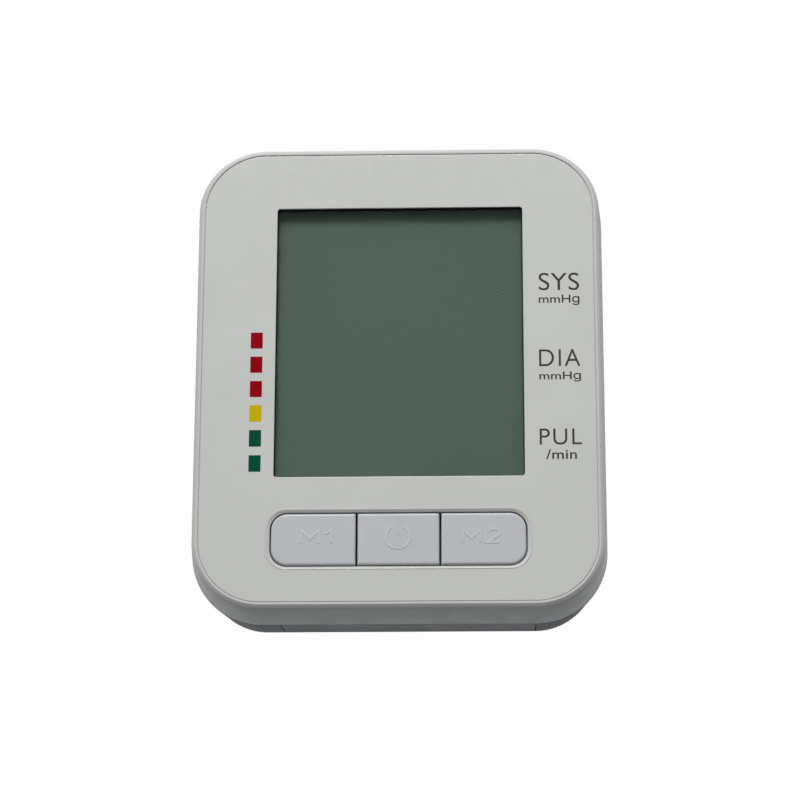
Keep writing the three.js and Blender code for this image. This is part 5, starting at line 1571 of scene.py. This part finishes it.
def valveMeshes(v):
    # a white bobbin with a nozzle, a taped coil between its flanges and two steel side plates
    (_, lowY, lowZ), (endX, highY, highZ), coil, slip = valveLow, valveHigh, v["coil"], v["slip"]
    near, far = valveMinX + v["flange"], endX - v["flange"]
    flanges = [block((start, lowY, lowZ), (end, highY, highZ), v["edge"])
               for start, end in ((valveMinX, near), (far, endX))]
    nozzle = [(near, 0), (near, 2.0), (valveMinX - 0.3, 2.0), (valveMinX - 0.5, 1.8), (valveMinX - 0.5, 1.1),
              *barbs(valveMinX - 0.5, valveLow[0])]
    core = bar(coil - 0.5, near - 0.5, far + 0.5, valveAxis, "x")
    first, last = near + slip, far - slip
    laps = np.linspace(first, last, v["laps"])[1:-1]
    steps = [(at, coil + lift) for at in laps for lift in (0, v["lap"])]
    tape = [(first, coil - 0.45), (first, coil), *steps, (last, coil), (last, coil - 0.45), (first, coil - 0.45)]
    yokes = [part for a, b in ((lowY, lowY + v["yoke"]), (highY - v["yoke"], highY)) for part in roundedBox(
        (first, a, lowZ + v["yokeIn"]), (last, b, highZ - v["yokeIn"]), v["yokeEdge"])]
    bobbin = join(*flanges, core, lathe(nozzle, valveAxis, "x", 32))
    return bobbin, lathe(tape, valveAxis, "x", 48), meshOf(*yokes)


jointShape = {"half": 3.0, "edge": 0.4}


def jointMesh(v):
    # a small block with a barbed nozzle on each of its four sides
    half, nozzles = v["half"], []
    for at, axis in enumerate("xy"):
        place = jointPlace.copy()
        place[at] = 0
        for side in (-1, 1):
            start, end = (jointPlace[at] + side * reach for reach in (half, half + nozzleLength))
            profile = [(start - side, 0), (start - side, 1.0), *barbs(start, end)]
            nozzles.append(lathe(profile, place, axis, 24))
    return join(block(jointPlace - half, jointPlace + half, v["edge"]), *nozzles)


valveBobbin, valveCoil, valvePlates = valveMeshes(valveShape)
stand("pump_motor", motorMesh(pumpShape), "steel", slot="motor_steel")
stand("pump_head", headMesh(pumpShape), "darkPlastic")
for node in ("pump_sleeve_motor", "pump_sleeve_head"):
    stand(node, sleeveMesh(sleeveShape, node), "darkRubber")
stand("release_valve", valveBobbin, "whitePlastic")
addPiece("release_valve_coil", valveCoil, "darkRubber")
addPiece("release_valve_plates", valvePlates, "steel", slot="motor_steel")
stand("air_joint", jointMesh(jointShape), "whitePlastic")


def smoothPath(points, steps=10):
    # Catmull-Rom curve: knots are spaced by the square root of the distance between the points
    points = np.asarray(points, float)
    if len(points) == 2:
        return points[0] + np.linspace(0, 1, steps + 1)[:, None] * (points[1] - points[0])
    points = np.vstack([2 * points[0] - points[1], points, 2 * points[-1] - points[-2]])
    blend = lambda a, b, ta, tb, t: ((tb - t) * a + (t - ta) * b) / (tb - ta)
    path = []
    for index in range(len(points) - 3):
        a, b, c, d = points[index:index + 4]
        spans = [math.sqrt(np.linalg.norm(end - start)) for start, end in ((a, b), (b, c), (c, d))]
        ta, tb, tc, td = np.cumsum([0, *spans])
        t = np.linspace(tb, tc, steps, endpoint=False)[:, None]
        ab, bc, cd = blend(a, b, ta, tb, t), blend(b, c, tb, tc, t), blend(c, d, tc, td, t)
        path.append(blend(blend(ab, bc, ta, tc, t), blend(bc, cd, tb, td, t), tb, tc, t))
    return np.vstack([*path, points[-2:-1]])


tubeShape = {"outer": 2.5, "bore": 1.5, "gap": 0.3, "steps": 16}
jointX, jointY, tubeZ = jointPlace
_, valveY, valveZ = valveAxis
tubeGap, sideReach = tubeShape["gap"], jointShape["half"] + tubeShape["gap"]
farReach = sideReach + nozzleLength
upwards, sideways = (0, 0, 1), (1, 0, 0)
tubeRoutes = {
    "air_tube_socket": (upwards, [
        (socketInner + tubeGap, jointY, tubeZ), (jointX - sideReach, jointY, tubeZ)]),
    "air_tube_pump": (upwards, [
        (headMinX - tubeGap, pumpY, pumpZ), (headLow[0], pumpY, pumpZ),
        (jointX + 2.5, pumpY - 1.25, (pumpZ + tubeZ) / 2),
        (jointX, jointY + farReach, tubeZ), (jointX, jointY + sideReach, tubeZ)]),
    "air_tube_valve": (upwards, [
        (jointX + sideReach, jointY, tubeZ), (jointX + farReach, jointY, tubeZ),
        ((jointX + sideReach + valveMinX) / 2, (jointY + valveY) / 2, (tubeZ + valveZ) / 2),
        (valveLow[0], valveY, valveZ), (valveMinX - tubeGap, valveY, valveZ)]),
    "air_tube_sensor": (sideways, [
        (jointX, jointY - sideReach, tubeZ), (jointX, jointY - farReach, tubeZ),
        ((jointX + sensorCentre[0]) / 2, sensorCentre[1] + 3.75, tubeZ), (*sensorCentre, sensorLow[2]),
        (*sensorCentre, sensorBody - tubeGap)]),
}
for node, (reference, points) in tubeRoutes.items():
    path = smoothPath(points, tubeShape["steps"])
    stand(node, sweptMesh(path, tubeShape["outer"], reference, 32, tubeShape["bore"]), "airTube", sharp=60)

leadShape = {"radius": 0.9, "apart": 0.96, "bend": 3.0, "rise": 4.0, "gap": 0.3}
leadStarts = {
    "pump_lead": (pumpHigh[0] - 1.5, pumpY - 6.5, pumpZ, 1),
    "valve_lead": (valveHigh[0], valveY, valveZ, 1),
    "power_lead": (jackLow[0], jackPlace[1], airZ, -1),
}


def leadMesh(v, start, y, z, direction):
    # two cores side by side: out of the face, a bend, then straight up to the board
    rise, core = start + direction * v["bend"], v["radius"] / 2
    path = smoothPath([
        (start + direction * v["gap"], y, z), (start + direction * v["radius"], y, z),
        (rise, y, z + v["rise"]), (rise, y, boardUnder - v["rise"]), (rise, y, boardUnder - v["gap"])])
    aside = core * v["apart"]
    return join(*[sweptMesh(path + (0, side * aside, 0), core, (0, 1, 0), 16) for side in (-1, 1)])


for node, values in leadStarts.items():
    stand(node, leadMesh(leadShape, *values), "leadJacket", sharp=60)
print("air circuit and leads made")

bpy.context.view_layer.update()
